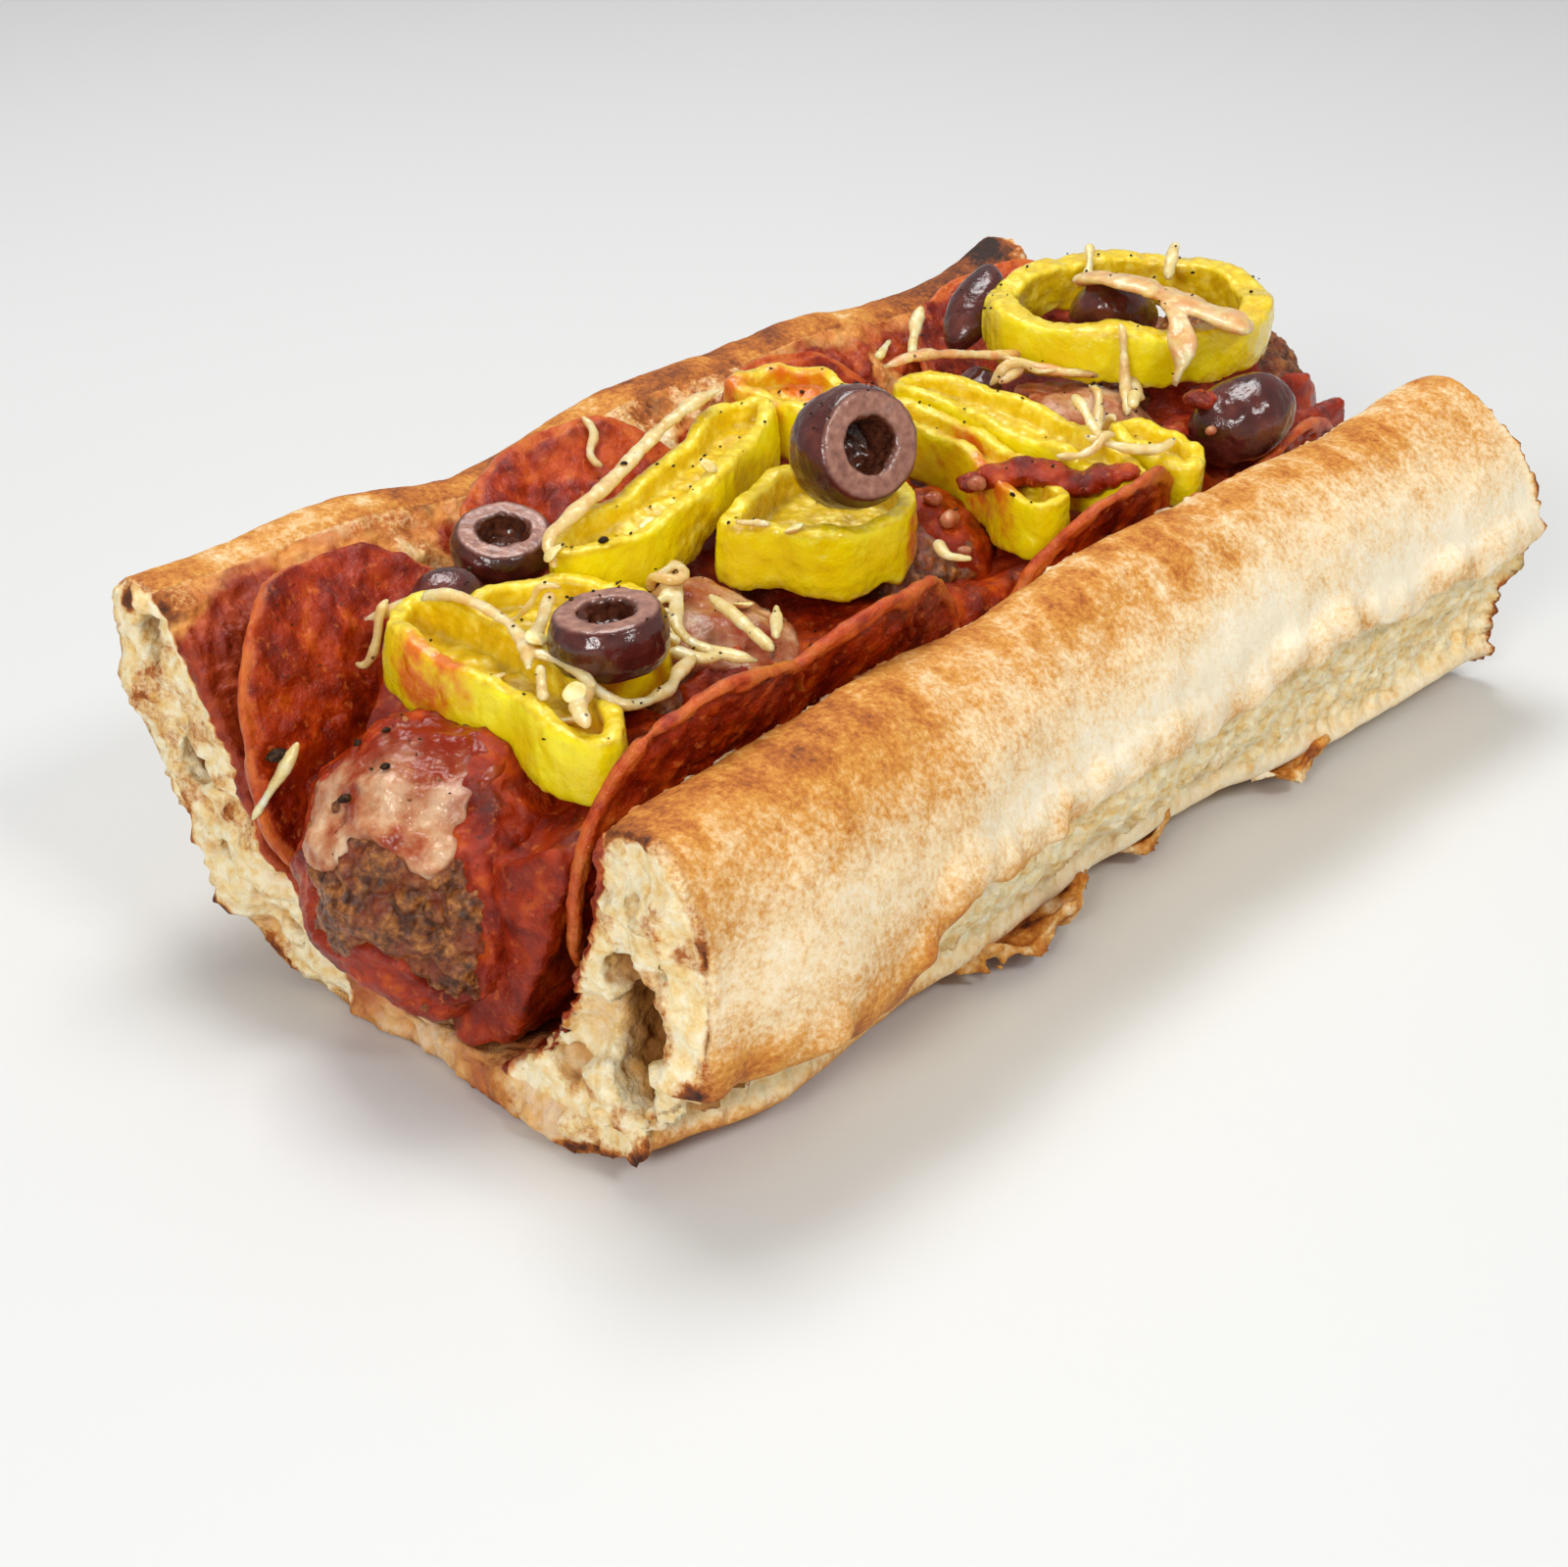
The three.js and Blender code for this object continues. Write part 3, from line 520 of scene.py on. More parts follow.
def meat_look():
    s = Shade("meat", 0.1, Coat_Weight=0.6, Coat_Roughness=0.05)
    grain = s.noise(1.6, 6, 0.65)
    brown = s.ramp(
        grain,
        (0.34, 48, 22, 6),
        (0.45, 100, 52, 17),
        (0.56, 146, 86, 34),
        (0.68, 190, 130, 66),
    )
    # Painted shade: the meat is darker in its cracks and sunken places.
    brown = s.mix(s.range(s.mask("pit"), 0.2, 1, 0, 0.7), brown, srgb(64, 26, 14))
    red = s.range(s.noise(5, 5), 0.46, 0.66, 0, 0.75)
    s.to("Base Color", s.mix(red, brown, srgb(126, 42, 16)))
    s.to("Roughness", s.range(grain, 0.3, 0.7, 0.46, 0.22))
    s.bump((grain, 0.35), (s.noise(0.6, 3), 0.1))
    return s.material


def pepperoni_look():
    s = Shade("pepperoni", 0.1, Coat_Weight=0.45, Coat_Roughness=0.05)
    marble = s.noise(2.6, 5, 0.65)
    meat = s.ramp(
        marble,
        (0.3, 146, 38, 8),
        (0.5, 188, 68, 16),
        (0.64, 206, 94, 32),
        (0.8, 226, 144, 74),
    )
    edge = s.times(s.mask("rim"), s.range(s.noise(4, 5), 0.4, 0.62, 0, 0.85))
    meat = s.mix(edge, meat, srgb(206, 108, 40))
    s.to("Base Color", s.mix(s.mask("coat"), meat, sauce_colour(s)))
    s.to("Roughness", s.range(marble, 0.3, 0.7, 0.42, 0.24))
    s.bump((s.noise(0.9, 5, 0.65), 0.3), (s.noise(2.6, 4), 0.6))
    return s.material


def cheese_look():
    s = Shade(
        "cheese", None, (1.0, 0.7, 0.35), Roughness=0.3, Subsurface_Weight=0.7, Subsurface_Scale=0.005,
        Coat_Weight=0.4, Coat_Roughness=0.08,
    )
    tone = s.ramp(s.noise(3, 4), (0.3, 216, 178, 106), (0.52, 234, 204, 142), (0.74, 250, 234, 194))
    oil = s.times(s.mask("stain"), s.range(s.noise(2.4, 4), 0.35, 0.6))
    tone = s.mix(oil, tone, srgb(212, 104, 46))
    speck = s.range(s.cells(3.1), 0.11, 0.08)
    s.to("Base Color", s.mix(s.times(speck, 0.85), tone, srgb(58, 36, 22)))
    s.bump((s.noise(1.2, 4), 0.2))
    return s.material


def melt_look():
    s = Shade(
        "melted_cheese", 0.1, (1.0, 0.5, 0.3), Roughness=0.28, Subsurface_Weight=0.4,
        Subsurface_Scale=0.003, Coat_Weight=0.5, Coat_Roughness=0.04,
    )
    tone = s.ramp(
        s.noise(6, 5, 0.6),
        (0.32, 140, 50, 20),
        (0.38, 158, 74, 40),
        (0.5, 188, 130, 90),
        (0.64, 220, 186, 150),
    )
    tone = s.mix(s.mask("thick"), srgb(146, 52, 22), tone)
    red = s.times(s.mask("stain"), s.range(s.noise(3.4, 5, 0.6), 0.3, 0.48, 0.7, 1))
    s.to("Base Color", s.mix(red, tone, srgb(134, 32, 2)))
    s.bump((s.noise(1.2, 4), 0.25), (s.noise(3.5, 4), 0.5))
    return s.material


def pepper_look():
    s = Shade(
        "pepper", 0.25, (1.0, 0.8, 0.1), Subsurface_Weight=0.4, Subsurface_Scale=0.004, Coat_Weight=0.7,
        Coat_Roughness=0.04,
    )
    skin = s.ramp(s.noise(6, 4), (0.3, 238, 212, 1), (0.55, 248, 228, 6), (0.78, 252, 238, 60))
    flesh = s.ramp(s.noise(1.8, 4), (0.3, 218, 184, 4), (0.5, 234, 202, 16), (0.72, 250, 230, 92))
    pith = s.ramp(s.noise(2.6, 4), (0.35, 196, 158, 6), (0.52, 224, 188, 20), (0.68, 250, 232, 120))
    tone = s.mix(s.mask("cut"), skin, flesh)
    tone = s.mix(s.times(s.mask("inner"), 0.8), tone, pith)
    oil = s.times(s.mask("stain"), s.range(s.noise(6, 4), 0.38, 0.6))
    s.to("Base Color", s.mix(oil, tone, srgb(218, 112, 14)))
    s.to("Roughness", s.range(s.noise(2.2, 4), 0.35, 0.65, 0.14, 0.38))
    s.bump((s.noise(0.7, 4, 0.65), 0.14), (s.noise(2.4, 4), 0.3))
    return s.material


def olive_look():
    s = Shade("olive", Coat_Weight=0.4, Coat_Roughness=0.08)
    skin = s.ramp(s.noise(5, 4), (0.3, 50, 17, 15), (0.55, 84, 33, 27), (0.8, 124, 62, 46))
    flesh = s.ramp(s.noise(1.4, 5), (0.3, 122, 78, 64), (0.55, 160, 110, 92), (0.8, 186, 140, 118))
    # Painted shade: the walls of the pit hole are darker than the flesh.
    hole_shade = s.ramp(s.noise(1.2, 4), (0.35, 56, 24, 14), (0.7, 112, 60, 40))
    tone = s.mix(s.mask("cut"), skin, flesh)
    s.to("Base Color", s.mix(s.mask("hole"), tone, hole_shade))
    s.to("Roughness", s.range(s.mask("cut"), 0, 1, 0.2, 0.42))
    s.bump((s.noise(0.8, 4), 0.1), (s.noise(2.6, 3), 0.2))
    return s.material


def seed_look():
    s = Shade("seed", Roughness=0.35, Subsurface_Weight=0.4, Subsurface_Scale=0.002)
    s.to(
        "Base Color",
        s.ramp(s.noise(1.5, 4), (0.35, 226, 198, 112), (0.55, 242, 224, 158), (0.75, 250, 240, 206)),
    )
    s.bump((s.noise(0.7, 4), 0.1))
    return s.material


def fleck_look():
    s = Shade("fleck", 0.1, Roughness=0.5)
    s.to(
        "Base Color", s.ramp(s.noise(0.6, 3), (0.35, 24, 16, 10), (0.55, 48, 32, 20), (0.72, 90, 64, 34)),
    )
    s.bump((s.noise(0.3, 3), 0.08))
    return s.material


SEED, FLECK = seed_look(), fleck_look()
BREAD, SAUCE, MEAT, PEPPERONI = bread_look(), sauce_look(), meat_look(), pepperoni_look()
CHEESE, MELT, PEPPER, OLIVE = cheese_look(), melt_look(), pepper_look(), olive_look()

# The roll
UNDERSIDE = [-26, 24]
SECTION = [
    ("leaning outside", [[36, 1.8], [47, 8.5], [55.5, 18], [61.5, 30], [65, 42]]),
    ("leaning top", [[64.8, 50], [61, 54.6], [55, 54]]),
    ("leaning inside", [[47.5, 48.5], [42, 40.5], [38.2, 30], [33.5, 18.5], [25.5, 9.5]]),
    ("trough", [[13, 5.6], [0, 5], [-9.5, 6.5]]),
    ("low inside", [[-16.5, 12.5], [-21.5, 23], [-24.5, 34], [-26, 44]]),
    ("low top", [[-28.5, 50.2], [-32.5, 51.5], [-38.5, 50]]),
    ("low outside", [[-46, 43], [-50.2, 33], [-50.5, 23.5], [-46, 13.5], [-37.5, 4.2]]),
]


def bend(p):
    """The straight roll's points in the real, uneven one."""
    x, y, z = p.T
    along = x / HALF
    low, leaning = step(-y, 6, 40), step(y, 6, 52)
    high, raised = step(z, 20, 52), step(z, 0.5, 6)
    widened = 3.6 * along**2 + 2.2 * np.maximum(0, along) * (1 - high) * raised
    foot = 7 * step(-x, 78, 102) - 5 * step(x, 20, 60)
    wavy = 1.6 * np.sin(x / 17 + 0.6) + 1.1 * np.sin(x / 8.5 + 2)
    tip = 1.5 * step(x, 84, 103)
    narrowed = 7.5 * step(-x, 78, 100) * step(-y, 32, 46) * step(z, 3, 14) * (1 - step(z, 30, 54))
    q = p.copy()
    q[:, 1] += narrowed
    q[:, 1] += leaning * (0.8 * np.sin(x / 21) - 2.2 * along**2 * (1 - high))
    q[:, 1] -= low * (widened - foot * (1 - step(z, 2, 16)))
    q[:, 2] += leaning * high * (wavy + tip) + low * high * 0.7 * np.sin(x / 13)
    return q


def extruded(outline, low, high, steps):
    """A closed outline of [y, z] run along X."""
    n = len(outline)
    V = np.vstack([np.column_stack([np.full(n, x), outline]) for x in np.linspace(low, high, steps + 1)])
    F = faces_of(lattice(steps + 1, n))
    F.append(tuple(range(n))[::-1])
    F.append(tuple(range(steps * n, steps * n + n)))
    return V, F


BALL = icosphere(2)


def blob(x, y, z, rx, ry, rz, seed=0):
    V, F = BALL
    V = V * (1 + 0.16 * noise(V, 0.9, seed)[:, None])
    return V * [rx, ry, rz] + [x, y, z], F


# Pores of the two cut ends of the straight roll: the middle and the three radii of each
PORES = [
    (-99, -35.8, 20.6, 20, 9.3, 10.6), (-99, -30.5, 30, 9, 4.2, 3.8), (-100, -21, 13, 5, 3, 2.4),
    (-100, -24.2, 20.5, 3.6, 4.6, 7.4),
    (-98, 56, 46, 6, 3, 4.5), (-97, 51, 30, 7, 3.6, 4), (101, -35, 26, 8, 5, 6), (103, 53, 40, 7, 4, 4.5),
    (103, 46, 22, 6, 4, 3.5), (-99, 46.5, 19, 4, 2.2, 1.6), (-99, 52, 37, 3.5, 2, 1.6),
    (-99, 36, 8.5, 4, 2.4, 1.3),
    (-99.5, -26, 24, 4, 1.6, 2.4), (-99.5, -41, 33, 4, 1.5, 2.2), (-99.5, -40, 12, 3.5, 2.4, 1.4),
    (-99.5, -33, 41, 4, 1.6, 2.2), (-99.5, -29, 8, 3, 2, 1.2),
]

# Loose flaps of crust along the foot of the low wall: middle, length and reach
FLAPS = [(-22, 44, 10), (12, 18, 6), (47, 32, 12)]


def flap(middle, length, reach):
    n, m = 34, 14
    u, v = np.meshgrid(np.linspace(-0.5, 0.5, n), np.linspace(0, 1, m), indexing="ij")
    sheets = []
    for side in (1.3, -1.3):
        p = np.stack([u.ravel() * length, 7 - 14 * v.ravel(), np.full(u.size, side)], 1)
        outward = step(-p[:, 1], -7, 7)
        rounded = np.sqrt(np.maximum(0, 1 - (2 * p[:, 0] / length) ** 2 * 0.9))
        jag = 1 + 0.18 * uneven(p, 9, 5) + 0.22 * noise(p * [1, 0, 0], 3, 8)
        y = -31 - outward * (3 + reach * rounded * jag)
        curl = outward**2 * 3.0 * (1 + uneven(p, 16, 2))
        sheets.append(np.stack(
            [middle + p[:, 0] * (1 - 0.25 * outward), y, 1.9 + p[:, 2] * (1 - 0.5 * outward) + curl], 1,
        ))
    V = np.vstack(sheets)
    top = lattice(n, m, False, False)
    F = faces_of(top) + faces_of(top[:, ::-1], n * m)
    rim = [i * m for i in range(n)] + [(n - 1) * m + j for j in range(1, m)]
    rim += [i * m + m - 1 for i in range(n - 2, -1, -1)] + list(range(m - 2, 0, -1))
    for a, b in zip(rim, rim[1:] + rim[:1]):
        F.append((a, b, b + n * m, a + n * m))
    return V, F


def bread():
    outline = [[UNDERSIDE[1], 0]] + [p for _, part in SECTION for p in part] + [[UNDERSIDE[0], 0]]
    line = spline(outline, 420)
    V, F = extruded(line, -HALF, HALF, 4)
    P, F = remeshed(V, F, 0.7, minus=joined([blob(*p, seed=i) for i, p in enumerate(PORES)]))
    P = relaxed(P, F, 1)

    # How deep each point lies under the skin of the section
    full = np.vstack([line, np.linspace(line[-1], line[0], 60)])[None, ::2]
    depth = in_batches(P, lambda p: np.linalg.norm(p[:, None, 1:] - full, axis=2).min(1))
    x, y, z = P.T
    # The cut faces of the trough lie between the two upper edges.
    rise, reach = [0, 6, 12, 23, 34, 44, 50, 60], [-12, -12, -17, -22.5, -25.5, -27.2, -29.5, -29.5]
    inner_low = (y < 2) & (y > -28.3) & (y > np.interp(z, rise, reach))
    rise, reach = [0, 5, 9, 18, 30, 40, 48, 53, 60], [14, 14, 27, 35, 40, 43.5, 49.5, 54.5, 54.5]
    inner_lean = (y >= 2) & (y < np.interp(z, rise, reach))
    opened = (inner_low | inner_lean) & (z > 2.5)
    under = z < 0.5

    end = step(np.abs(x), HALF - 1.2, HALF - 0.4)
    hole = (depth > 1.2) & (np.abs(x) < HALF - 0.6)
    crumb = np.maximum(np.maximum(end, opened * 1.0), hole * 1.0)
    wider = 11 * step(x, -72, -52)
    band = step(z, 4, 9) * (1 - step(z, 15 + wider, 23 + wider)) * step(-y, 36, 44)
    along = P * [1, 0, 0]
    ragged_top = 18 + wider + 3.5 * noise(along, 17, 5) + 2 * noise(along, 5, 6) + noise(along, 2, 7)
    higher = step(z, ragged_top - 1.2, ragged_top + 0.4)
    torn = step(z, 5, 8) * (1 - higher) * step(-y, 38, 43) * (1 - end)

    torn_back = step(y, -14, 4) * (1 - step(y, 30, 46)) * (1 - step(z, 8, 22))
    to_front, to_far = step(-x, 60, HALF), step(x, 60, HALF)
    ragged = 0.9 * uneven(P, 19, 3)
    Q = bend(P)
    Q[:, 0] += to_front * (3.5 * torn_back + 3 * step(y, 20, 50) + ragged)
    Q[:, 0] -= to_far * (6 * torn_back - 4 * step(y, 20, 50) + ragged)
    Q[:, 1] += band * (1.4 + 1.0 * uneven(P, 31, 1))
    swell = step(z, 2, 8) * 0.45
    Q[:, 1] += swell * uneven(P, 27, 4)
    Q[:, 2] += swell * uneven(P, 33, 6)

    N = normals(Q, F)
    crust = 1 - crumb
    move = crust * (0.35 * fbm(Q, 11, 21) + 0.12 * fbm(Q, 3.2, 22))
    # Crumb: pits of several sizes, and torn fibres
    big, _ = cells(Q + 1.4 * fbm(Q, 4, 30, 2)[:, None], [4.6, 6.4, 4.6], 31)
    small, _ = cells(Q, 1.9, 32)
    somewhere = step(fbm(Q, 9, 36, 2), -0.15, 0.35)
    pits = np.clip(0.5 - big, 0, 1) * 3.2 * somewhere + np.clip(0.42 - small, 0, 1) * 1.1
    fibres = fbm(Q, [2.0, 4.2, 2.0], 33, 4, 0.65)
    ridge = 1 - np.abs(fbm(Q, [3.5, 7, 3.5], 37, 3))
    move += crumb * (0.8 * fibres + 0.6 * (ridge - 0.6) - pits * (0.5 + 0.7 * end))
    move += 1.7 * end * fbm(Q, 7, 35, 4)
    # The torn band: upright fibres and a lip above it
    upright = fbm(P, [1.6, 12, 9], 41, 3, 0.6)
    over, past = step(z, ragged_top - 1.0, ragged_top + 0.6), step(z, ragged_top + 1.5, ragged_top + 7)
    lip = over * (1 - past) * step(-y, 38, 43)
    move += torn * (1.2 * upright - 2.2 + 0.6 * fibres - 1.1 * pits) + lip * (2.0 + 1.0 * noise(P, 4, 43))
    V = Q + N * move[:, None]
    V[:, 2] = np.maximum(V[:, 2], 0.02)

    # Browning, and some painted shade towards the bottom of the low wall
    streak = fbm(P, [3, 11, 11], 51, 3)
    patch = fbm(P, 16, 52, 3)
    low_wall = (y < 0) * 1.0
    top = step(z, 33, 51)
    wide = fbm(P, 34, 58, 2)
    toast_and_shade = low_wall * (0.11 + 0.08 * step(-x, 10, 70) + 0.23 * top + 0.08 * patch + 0.05 * top * streak)
    toast_and_shade -= low_wall * (1 - 0.6 * top) * (0.08 * step(wide, -0.2, 0.5) + 0.09 * step(x, -50, 20))
    # Partly browner crust and partly painted shade: the low wall gets darker towards its bottom, more so
    # towards its near end.
    toast_and_shade += low_wall * (0.1 + 0.16 * step(-x, 10, 60)) * (1 - step(z, 16, 34))
    edge = step(z, 44, 50.5) * (1 - step(-y, 33, 44))
    toast_and_shade += low_wall * edge * (0.1 + 0.08 * streak + 0.12 * step(fbm(P, 26, 53, 2), 0.1, 0.6))
    dark = (1 - step(np.abs(x - 6), 22, 46)) * step(z, 40, 50)
    toast_and_shade += low_wall * dark * (0.06 + 0.14 * fbm(P, [4, 4, 4], 57, 3))
    toast_and_shade += low_wall * 0.05 * step(-x, 76, 99) * step(z, 18, 40)
    toast_and_shade += low_wall * 0.04 * (1 - step(100 + x, 0.5, 3.5)) * step(z, 26, 46)
    toast_and_shade += low_wall * 0.12 * step(x, 80, 99) * step(z, 10, 20) * (1 - step(z, 24, 34))
    lean_out = (y >= 2) & ~opened
    toast_and_shade += lean_out * (0.34 + 0.16 * patch + 0.05 * streak)
    rim = step(z, 47, 52) * (y > 2)
    toast_and_shade = toast_and_shade + rim * (0.26 + 0.22 * fbm(P, [9, 9, 9], 54, 3))
    toast_and_shade = np.where(under, 0.38 + 0.1 * patch, toast_and_shade)
    # A thin brown line of crust round the cut ends, toasted tips of crumb
    thin = (1 - step(depth, 0.6, 1.9)) * (~opened)
    toast_and_shade = np.where(crumb > 0.5, 0.12 + 0.36 * thin, toast_and_shade)
    proud = step(move, 0.5, 1.5)
    toast_and_shade += crumb * 0.4 * proud * step(patch, -0.3, 0.4)
    toast_and_shade += (
        opened
        * (0.02 + 0.12 * patch + (y > 2) * step(z, 26, 50) * (0.46 + 0.3 * fbm(Q, [5, 5, 9], 55, 3)))
    )
    toast_and_shade += end * 0.34 * step(fbm(Q, 7, 56, 3), 0.0, 0.45)
    toast_and_shade = toast_and_shade * (1 - torn) + torn * (0.06 + 0.4 * step(upright, 0.15, 0.8))
    toast_and_shade += lip * (0.2 + 0.2 * noise(P, 5, 44))
    low_lip = (1 - step(z, 3, 6.5)) * step(-y, 26, 34)
    toast_and_shade += low_lip * 0.14
    # Char: spots on the two ends of the leaning wall, and a faint one on the low wall's near end
    for at, size, share in (((-97, 60, 53), 2.6, 0.8), ((99, 60, 56), 6, 0.4), ((-99, -28, 51), 5, 0.06)):
        toast_and_shade += share * (1 - step(np.linalg.norm(Q - at, axis=1), size * 0.4, size))

    # Sauce and oil on the opened faces
    soak = fbm(Q, 13, 61, 4)
    stain = opened * step(soak + 0.75 * (1 - step(z, 20, 54)) + 0.05, 0.0, 0.6)
    stain += opened * 0.35 * step(fbm(Q, 5, 62, 3), -0.1, 0.4)
    for at, size in (
        ((-76, 46, 50), 21), ((-92, 44, 42), 14), ((40, 48, 54), 14), ((62, 49, 55), 12),
        ((-45, 47, 52), 8),
    ):
        stain += opened * (1 - step(np.linalg.norm(Q - at, axis=1) + 4 * soak, size * 0.5, size))
    stain += opened * (y > 2) * 0.2 * step(soak, -0.5, 0.2)
    front_floor = (1 - step(z, 4, 9)) * step(-x, 84, 92) * (np.abs(y) < 24)
    stain = np.where(front_floor > 0.3, 0.3 + 0.5 * step(soak, -0.3, 0.5), stain)
    stain *= 1 - 0.6 * step(z, 49, 53)
    # Painted shade for the crumb: its pits, and the pores near the cut ends.
    cave_shade = hole * (1 - end) * step(HALF - np.abs(x), 0.8, 7) * ~opened
    pit = np.maximum(0.55 * pits * crumb, cave_shade)
    masks = {"toast_and_shade": toast_and_shade, "crumb": np.maximum(crumb, torn), "stain": stain, "pit": pit}
    put("roll", V, F, BREAD, ["bread"], masks)

    parts = []
    for i, one in enumerate(FLAPS):
        V, F = roughened(*flap(*one), 0.6, 1, 0.5, 2.6, 71 + i, 3)
        V[:, 2] = np.maximum(V[:, 2], 0.3)
        parts.append((V, F))
    V, F = joined(parts)
    masks = dict.fromkeys(("crumb", "stain", "pit"), 0 * V[:, 0])
    put("crust_flaps", V, F, BREAD, [], {"toast_and_shade": 0.46 + 0.4 * fbm(V, 4, 75), **masks})


# The sauce
SAUCE_SECTION = [
    [0, 5.6], [-8, 8], [-12.6, 15], [-16.2, 24], [-18.6, 34], [-19.4, 42], [-16.5, 45.2], [-9, 42.5],
    [4, 40.5],
    [17, 41], [26, 43], [32.5, 45], [33.6, 40.5], [30.4, 30], [25.6, 20.8], [19, 14.2], [10.5, 7.8],
]


def sauce():
    V, F = extruded(spline(SAUCE_SECTION + SAUCE_SECTION[:1], 160)[:-1], -98, 98, 4)
    P, F = remeshed(V, F, 0.8)
    P = relaxed(P, F, 1)
    x, y, z = P.T
    top = step(z, 30, 40)
    inside = 1 - step(np.abs(y - 6), 16, 27)
    between = np.cos(2 * pi * (x + 88) / 46)
    to_end = step(np.abs(x), 76, 96)
    Q = bend(P)
    slumped = 9 * step(-x, 66, 90) * step(y, 6, 22)
    Q[:, 2] += (
        top * (1.2 * uneven(P, 34, 8) - 1.5 * inside * between - 4 * to_end * inside + 0.02 * x - slumped)
    )
    Q[:, 0] -= np.sign(x) * to_end * (5 * step(y, -8, 12) + 1.5 * uneven(P, 21, 9))
    N = normals(Q, F)
    lumps, _ = cells(Q, 3.6, 82)
    V = Q + N * (0.8 * fbm(Q, 9, 81, 4) + 0.5 * fbm(Q, 3, 83, 3) + 0.5 * (0.6 - lumps))[:, None]
    put("tomato_sauce", V, F, SAUCE, ["sauce"])


# Meatballs and what coats them
RADIUS = 19.5  # of a meatball
MIDDLES = [np.array([-88 + 46 * i, 8 - 1.5 * (i % 2), 26.6 + 2.2 * i]) for i in range(5)]


def radius_of(D, i):
    return RADIUS * (1 + 0.045 * uneven(D * RADIUS, 13, i + 1))


def meatballs():
    for i, middle in enumerate(MIDDLES):
        D, F = icosphere(7 if i in (0, 4) else 6)
        P = D * radius_of(D, i)[:, None]
        grain, second = cells(P + 50 * i, 3.4, 90)
        fine, _ = cells(P + 50 * i, 1.5, 92)
        crack = np.clip(1 - (second - grain) * 3.2, 0, 1)
        rough = fbm(P + 30 * i, 2.4, 93, 4, 0.65)
        crack = crack * step(fbm(P + 30 * i, 7, 94, 2), -0.1, 0.4)
        lift = (
            0.8 * (0.55 - grain) + 0.3 * (0.5 - fine) + 0.8 * fbm(P + 30 * i, 7, 91, 4) + 0.8 * rough
            - 0.8 * crack
        )
        # The darkened mask, which is painted shade, takes in the sunken places as well as the cracks.
        crack = np.maximum(crack, step(-rough, 0.25, 0.7))
        V = P * (1 + lift / RADIUS)[:, None] + middle
        put("meatball_%d_meat" % (i + 1), V, F, MEAT, ["meatball_%d" % (i + 1)], {"pit": crack})


def coat(
    name, i, cover, thickness, material, level=7, nodes=(), bumps=0.35, seed=0, clear=None,
):
    """A soft coat on a meatball: it dips under the meat where cover is 0."""
    D, F = icosphere(level)
    P = D * radius_of(D, i)[:, None]
    c = cover(D, P)
    lift = -1.6 + (1.6 + thickness) * step(c, 0.0, 1.0)
    fine = 0.3 * fbm(P + 40 * i, 1.7, 103, 2)
    lift = lift + step(c, 0.3, 1) * (bumps * fbm(P + 40 * i, 4.5, 101 + seed, 4) + fine)
    V = P * (1 + lift / RADIUS)[:, None] + MIDDLES[i]
    # Only what stands on the meat is kept, with a rim under it.
    kept = (c > 0.02)[F].any(1)
    used = np.unique(F[kept])
    back = np.full(len(V), -1)
    back[used] = np.arange(len(used))
    F = back[F[kept]]
    V, P, c, D = V[used], P[used], c[used], D[used]
    red = 0 * c + 0.25
    if clear:
        red = 1 - step(D @ unit(clear) + 0.12 * fbm(P, 6, 109, 3), 0.6, 0.9)
    put(name, V, F, material, nodes, {"thick": step(c, 0.2, 0.9), "stain": red})


def lobes(D, spots):
    """The greatest of several caps, each a direction, a reach in degrees and a softness in degrees."""
    best = np.full(len(D), -9.0)
    for direction, reach, soft in spots:
        angle = np.degrees(np.arccos(np.clip(D @ unit(direction), -1, 1)))
        best = np.maximum(best, (reach - angle) / soft)
    return best


def patches(spots, uneven_by, wave, seed, octaves):
    """The cover of a coat: caps with an uneven edge."""
    return lambda D, P: lobes(D, spots) * 0.8 + 0.5 + uneven_by * fbm(P, wave, seed, octaves)


